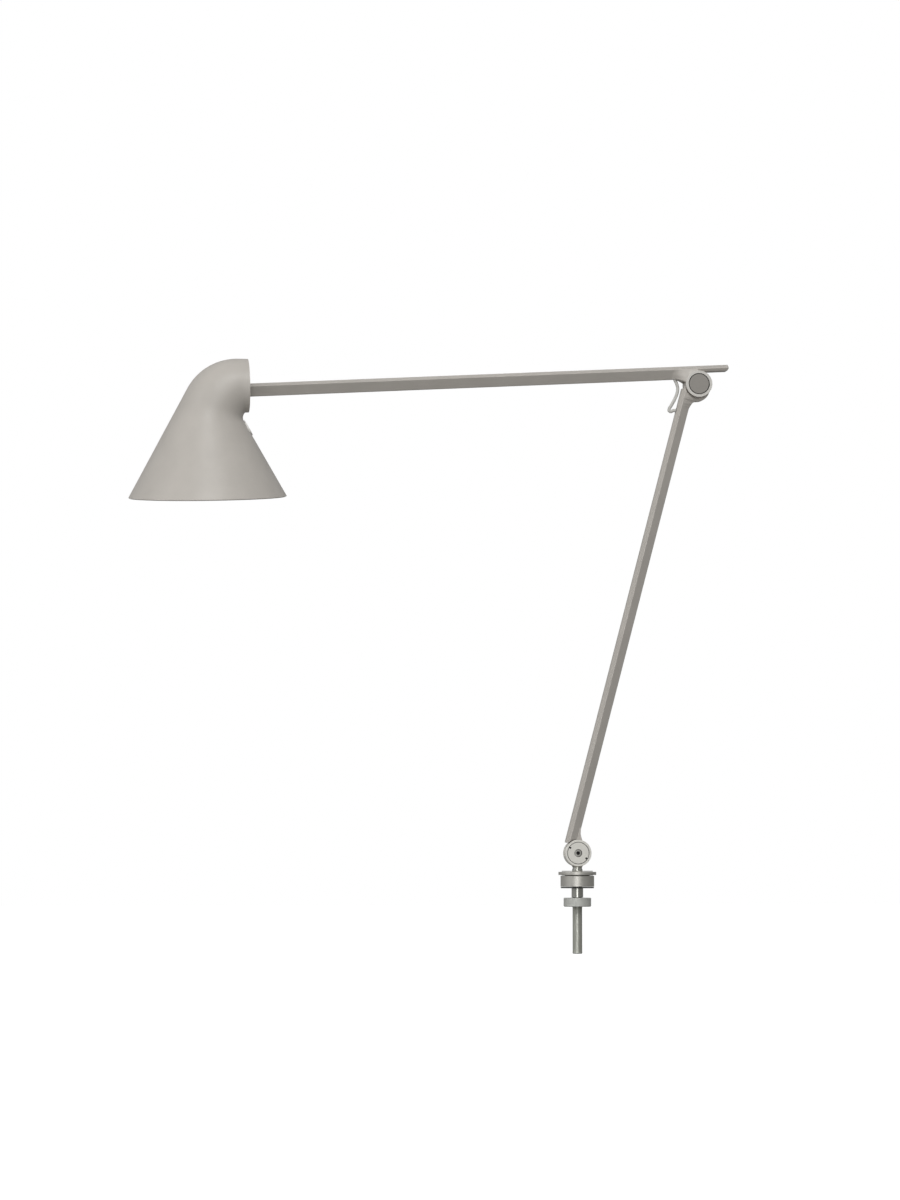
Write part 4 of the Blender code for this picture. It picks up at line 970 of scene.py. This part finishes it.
# ---------------------------------------------------------------- head
def shade_outlines(bend_steps):
    """Matching points on the outer and inner side of the shade's bend, as (x, z)."""
    slope = tan(CONE_ANGLE)
    edge = RIM_R * cos(CONE_ANGLE) - RIM_DROP * sin(CONE_ANGLE)
    notch_x = (edge + NOTCH_R - NOTCH_Z * sin(CONE_ANGLE)) / cos(CONE_ANGLE)
    crown_z = CROWN_RISE - CROWN_R
    crown_x = (CROWN_R + sin(CONE_ANGLE) * (RIM_DROP + crown_z)) / cos(CONE_ANGLE) - RIM_R
    inner = arc(notch_x, NOTCH_Z, NOTCH_R, 180 + degrees(CONE_ANGLE), NOTCH_END, bend_steps)
    first_z = inner[0][1]
    first = (-(RIM_R - slope * (RIM_DROP + first_z)), first_z)
    crown = arc(crown_x, crown_z, CROWN_R, 180 - degrees(CONE_ANGLE), 90, bend_steps)
    straight = Vector(crown[0]) - Vector(first)
    curved = CROWN_R * radians(90 - degrees(CONE_ANGLE))
    outer = []
    for k in range(bend_steps + 1):
        run = k / bend_steps * (straight.length + curved)
        if run < straight.length:
            point = Vector(first) + straight * (run / straight.length)
        else:
            angle = pi - CONE_ANGLE - (run - straight.length) / CROWN_R
            point = Vector((crown_x + CROWN_R * cos(angle), crown_z + CROWN_R * sin(angle)))
        outer.append(tuple(point))
    return outer, inner


def shade():
    bend_steps = 32
    outer, inner = shade_outlines(bend_steps)
    rings = [((-RIM_R, -RIM_DROP), (RIM_R, -RIM_DROP))]
    cone_rows = 10
    for k in range(1, cone_rows):
        t = k / cone_rows
        left = Vector(rings[0][0]).lerp(Vector(outer[0]), t)
        right = Vector(rings[0][1]).lerp(Vector(inner[0]), t)
        rings.append((tuple(left), tuple(right)))
    rings += list(zip(outer, inner))
    neck_rows = 4
    for k in range(1, neck_rows + 1):
        t = k / neck_rows
        left = Vector(outer[-1]).lerp(Vector((NECK_LENGTH, NECK_R)), t)
        right = Vector(inner[-1]).lerp(Vector((NECK_LENGTH, -NECK_R)), t)
        rings.append((tuple(left), tuple(right)))
    steps = 144

    def build(work):
        previous = None
        for (left_x, left_z), (right_x, right_z) in rings:
            left = Vector((left_x, 0, left_z))
            right = Vector((right_x, 0, right_z))
            centre = (left + right) / 2
            out = (left - right) / 2
            across = Vector((0, out.length, 0))
            loop = [work.verts.new(centre + out * cos(2 * pi * i / steps)
                                   + across * sin(2 * pi * i / steps)) for i in range(steps)]
            if previous:
                for i in range(steps):
                    j = (i + 1) % steps
                    work.faces.new((previous[i], loop[i], loop[j], previous[j]))
            previous = loop

    shell = new_object("shade_skin", mesh_from("shade_skin", build), HEAD)
    wall = shell.modifiers.new("wall", "SOLIDIFY")
    wall.thickness = SHADE_WALL
    wall.offset = -1
    wall.use_even_offset = True
    wall.material_offset = 1
    wall.material_offset_rim = 0
    shell.data.materials.append(PAINT)
    shell.data.materials.append(INSIDE)
    settle(shell)
    carve(shell, "DIFFERENCE",
          switch_turned("switch_hole", disc(SWITCH_R + GAP, 8 * MM, -8 * MM), 0))
    ease_edges(shell, 0.6 * MM, 60)
    settle(shell)
    into_world(shell)
    smooth(shell, 40)
    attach(shell, "head")
    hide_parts("shade")


def switch_turned(name, profile, radius=0.3 * MM):
    """Turned piece whose axis stands square on the cone behind the arm."""
    x = RIM_R - tan(CONE_ANGLE) * (RIM_DROP + SWITCH_Z)
    return turned(name, profile, HEAD @ Matrix.Translation((x, 0, SWITCH_Z))
                  @ about_y(pi / 2 - CONE_ANGLE), radius)


def switch():
    inner_r = SWITCH_R - 1.1 * MM
    show(switch_turned("switch_bezel_skin", ring(SWITCH_R, inner_r, 0.9 * MM, -5.0 * MM)),
         SWITCH, "head", "light_grey_plastic", "switch_bezel")
    crown = [(0, 0.35 * MM), (2.5 * MM, 0.38 * MM), (5 * MM, 0.5 * MM),
             (inner_r - GAP, 0.7 * MM), (inner_r - GAP, -1.6 * MM), (0, -1.6 * MM)]
    show(switch_turned("switch_button_skin", crown, 0.25 * MM),
         SWITCH, "switch_button", "light_grey_plastic", "switch_button")


def light_engine():
    def lathe(name, node, profile, paint, slot, radius=0.4 * MM):
        show(turned(name, profile, HEAD, radius, 128), paint, "head", slot, node)

    board_top = SINK_BOTTOM - GAP
    lamp_room = board_top - BOARD_T - GAP - 0.2 * MM
    lathe("reflector_skin", "reflector",
          [(11 * MM, lamp_room), (MOUTH_R, REFLECTOR_RIM_Z), (LIP_R, REFLECTOR_RIM_Z),
           (LIP_R, REFLECTOR_RIM_Z - SHEET_T), (45.4 * MM, REFLECTOR_RIM_Z - SHEET_T),
           (10.0 * MM, lamp_room - SHEET_T), (10.0 * MM, lamp_room)], REFLECTOR,
          "white_reflector", 0.3 * MM)
    lens_top = REFLECTOR_RIM_Z - SHEET_T - GAP
    lathe("diffuser_skin", "diffuser", disc(LENS_R, lens_top, lens_top - LENS_T), OPAL,
          "opal_diffuser")
    seat = lens_top - LENS_T - GAP
    foot = lens_top - 3.6 * MM
    lathe("retaining_ring_skin", "retaining_ring",
          [(LIP_R, lens_top), (LIP_R + 1 * MM, foot), (MOUTH_R, foot), (MOUTH_R, seat),
           (LENS_R + 0.4 * MM, seat), (LENS_R + 0.4 * MM, lens_top)],
          REFLECTOR, "white_reflector", 0.5 * MM)


# ---------------------------------------------------------------- pieces kept from the CAD
def finish_cad_nodes():
    for node in frame["nodes"].values():
        if node.hide_render:
            continue
        for slot in node.material_slots:
            slot.link = "OBJECT"
            slot.material = FINISH[node.data.materials[0].name.split(".")[0]]
        weld = node.modifiers.new("weld", "WELD")
        weld.merge_threshold = 1e-6
        ease_edges(node, 0.15 * MM, 50, 2)


# ---------------------------------------------------------------- studio
def area(name, location, target, size, power, size_y=None):
    lamp = bpy.data.lights.new(name, "AREA")
    lamp.shape = "RECTANGLE"
    lamp.size = size
    lamp.size_y = size_y or size
    lamp.energy = power
    light = new_object(name, lamp)
    light.location = location
    aim = Vector(target) - Vector(location)
    light.rotation_euler = aim.to_track_quat("-Z", "Y").to_euler()


def studio():
    scene = bpy.context.scene
    scene.view_settings.view_transform = "Standard"
    world = bpy.data.worlds.new("studio")
    scene.world = world
    world.use_nodes = True
    tree = world.node_tree
    tree.nodes.clear()
    seen = tree.nodes.new("ShaderNodeBackground")
    seen.inputs["Color"].default_value = (1, 1, 1, 1)
    seen.inputs["Strength"].default_value = 1.0
    room = tree.nodes.new("ShaderNodeBackground")
    direction = tree.nodes.new("ShaderNodeTexCoord")
    towards_light = tree.nodes.new("ShaderNodeVectorMath")
    towards_light.operation = "DOT_PRODUCT"
    towards_light.inputs[1].default_value = (-0.35, 0, 0.9)
    ramp = tree.nodes.new("ShaderNodeValToRGB")
    ramp.color_ramp.elements[0].position = 0.2
    ramp.color_ramp.elements[0].color = (0.19, 0.19, 0.185, 1)
    ramp.color_ramp.elements[1].position = 0.7
    ramp.color_ramp.elements[1].color = (0.45, 0.45, 0.45, 1)
    height = tree.nodes.new("ShaderNodeMapRange")
    height.inputs["From Min"].default_value = -1
    switch_over = tree.nodes.new("ShaderNodeMixShader")
    path = tree.nodes.new("ShaderNodeLightPath")
    output = tree.nodes.new("ShaderNodeOutputWorld")
    tree.links.new(direction.outputs["Generated"], towards_light.inputs[0])
    tree.links.new(towards_light.outputs["Value"], height.inputs["Value"])
    tree.links.new(height.outputs["Result"], ramp.inputs["Fac"])
    tree.links.new(ramp.outputs["Color"], room.inputs["Color"])
    tree.links.new(path.outputs["Is Camera Ray"], switch_over.inputs["Fac"])
    tree.links.new(room.outputs[0], switch_over.inputs[1])
    tree.links.new(seen.outputs[0], switch_over.inputs[2])
    tree.links.new(switch_over.outputs[0], output.inputs["Surface"])

    target = (-0.12, 0, 0.32)
    area("key_softbox", (-0.37, -2.35, 2.15), target, 1.4, 31)
    area("left_softbox", (-2.2, -0.9, 1.0), target, 1.2, 8)
    area("right_softbox", (2.0, -1.2, 1.0), target, 1.2, 1.5)
    area("front_softbox", (-0.6, -3.4, 0.35), target, 1.5, 20, size_y=1.6)

    floor_mesh = mesh_from("floor", lambda work: bmesh.ops.create_grid(
        work, x_segments=8, y_segments=8, size=30))
    floor_drop = 0.30                  # from the table's face, well below the pin
    ground = new_object("floor", floor_mesh, Matrix.Translation((0, 0, -floor_drop)))
    nodes = Nodes("pale_floor")
    tone = nodes.spread(nodes.noise(1.5, 3.0), 0.0, 1.0)
    nodes.link(nodes.mix(tone, (0.93, 0.93, 0.93, 1), (0.97, 0.97, 0.97, 1)),
               nodes.shader.inputs["Base Color"])
    nodes.shader.inputs["Roughness"].default_value = 0.9
    nodes.shader.inputs["Emission Color"].default_value = (1, 1, 1, 1)
    nodes.shader.inputs["Emission Strength"].default_value = 0.75
    ground.data.materials.append(nodes.material)
    ground.visible_diffuse = False
    ground.visible_glossy = False


def camera():
    """Camera a little below the arms, turned slightly towards the base."""
    data = bpy.data.cameras.new("camera")
    data.lens = 133.5
    data.sensor_width = 36
    made = new_object("camera", data)
    turn = radians(-6.7)
    lift = radians(3.4)
    distance = 4.45
    aim = Vector((-0.12816, 0, 0.28769))
    toward = Vector((-sin(turn) * cos(lift), cos(turn) * cos(lift), sin(lift)))
    made.location = aim - toward * distance
    made.rotation_euler = toward.to_track_quat("-Z", "Y").to_euler()
    bpy.context.scene.camera = made


camera()
table_mount()
swivel()
lower_arm()
upper_arm()
elbow_cable()
shade()
switch()
light_engine()
finish_cad_nodes()
studio()
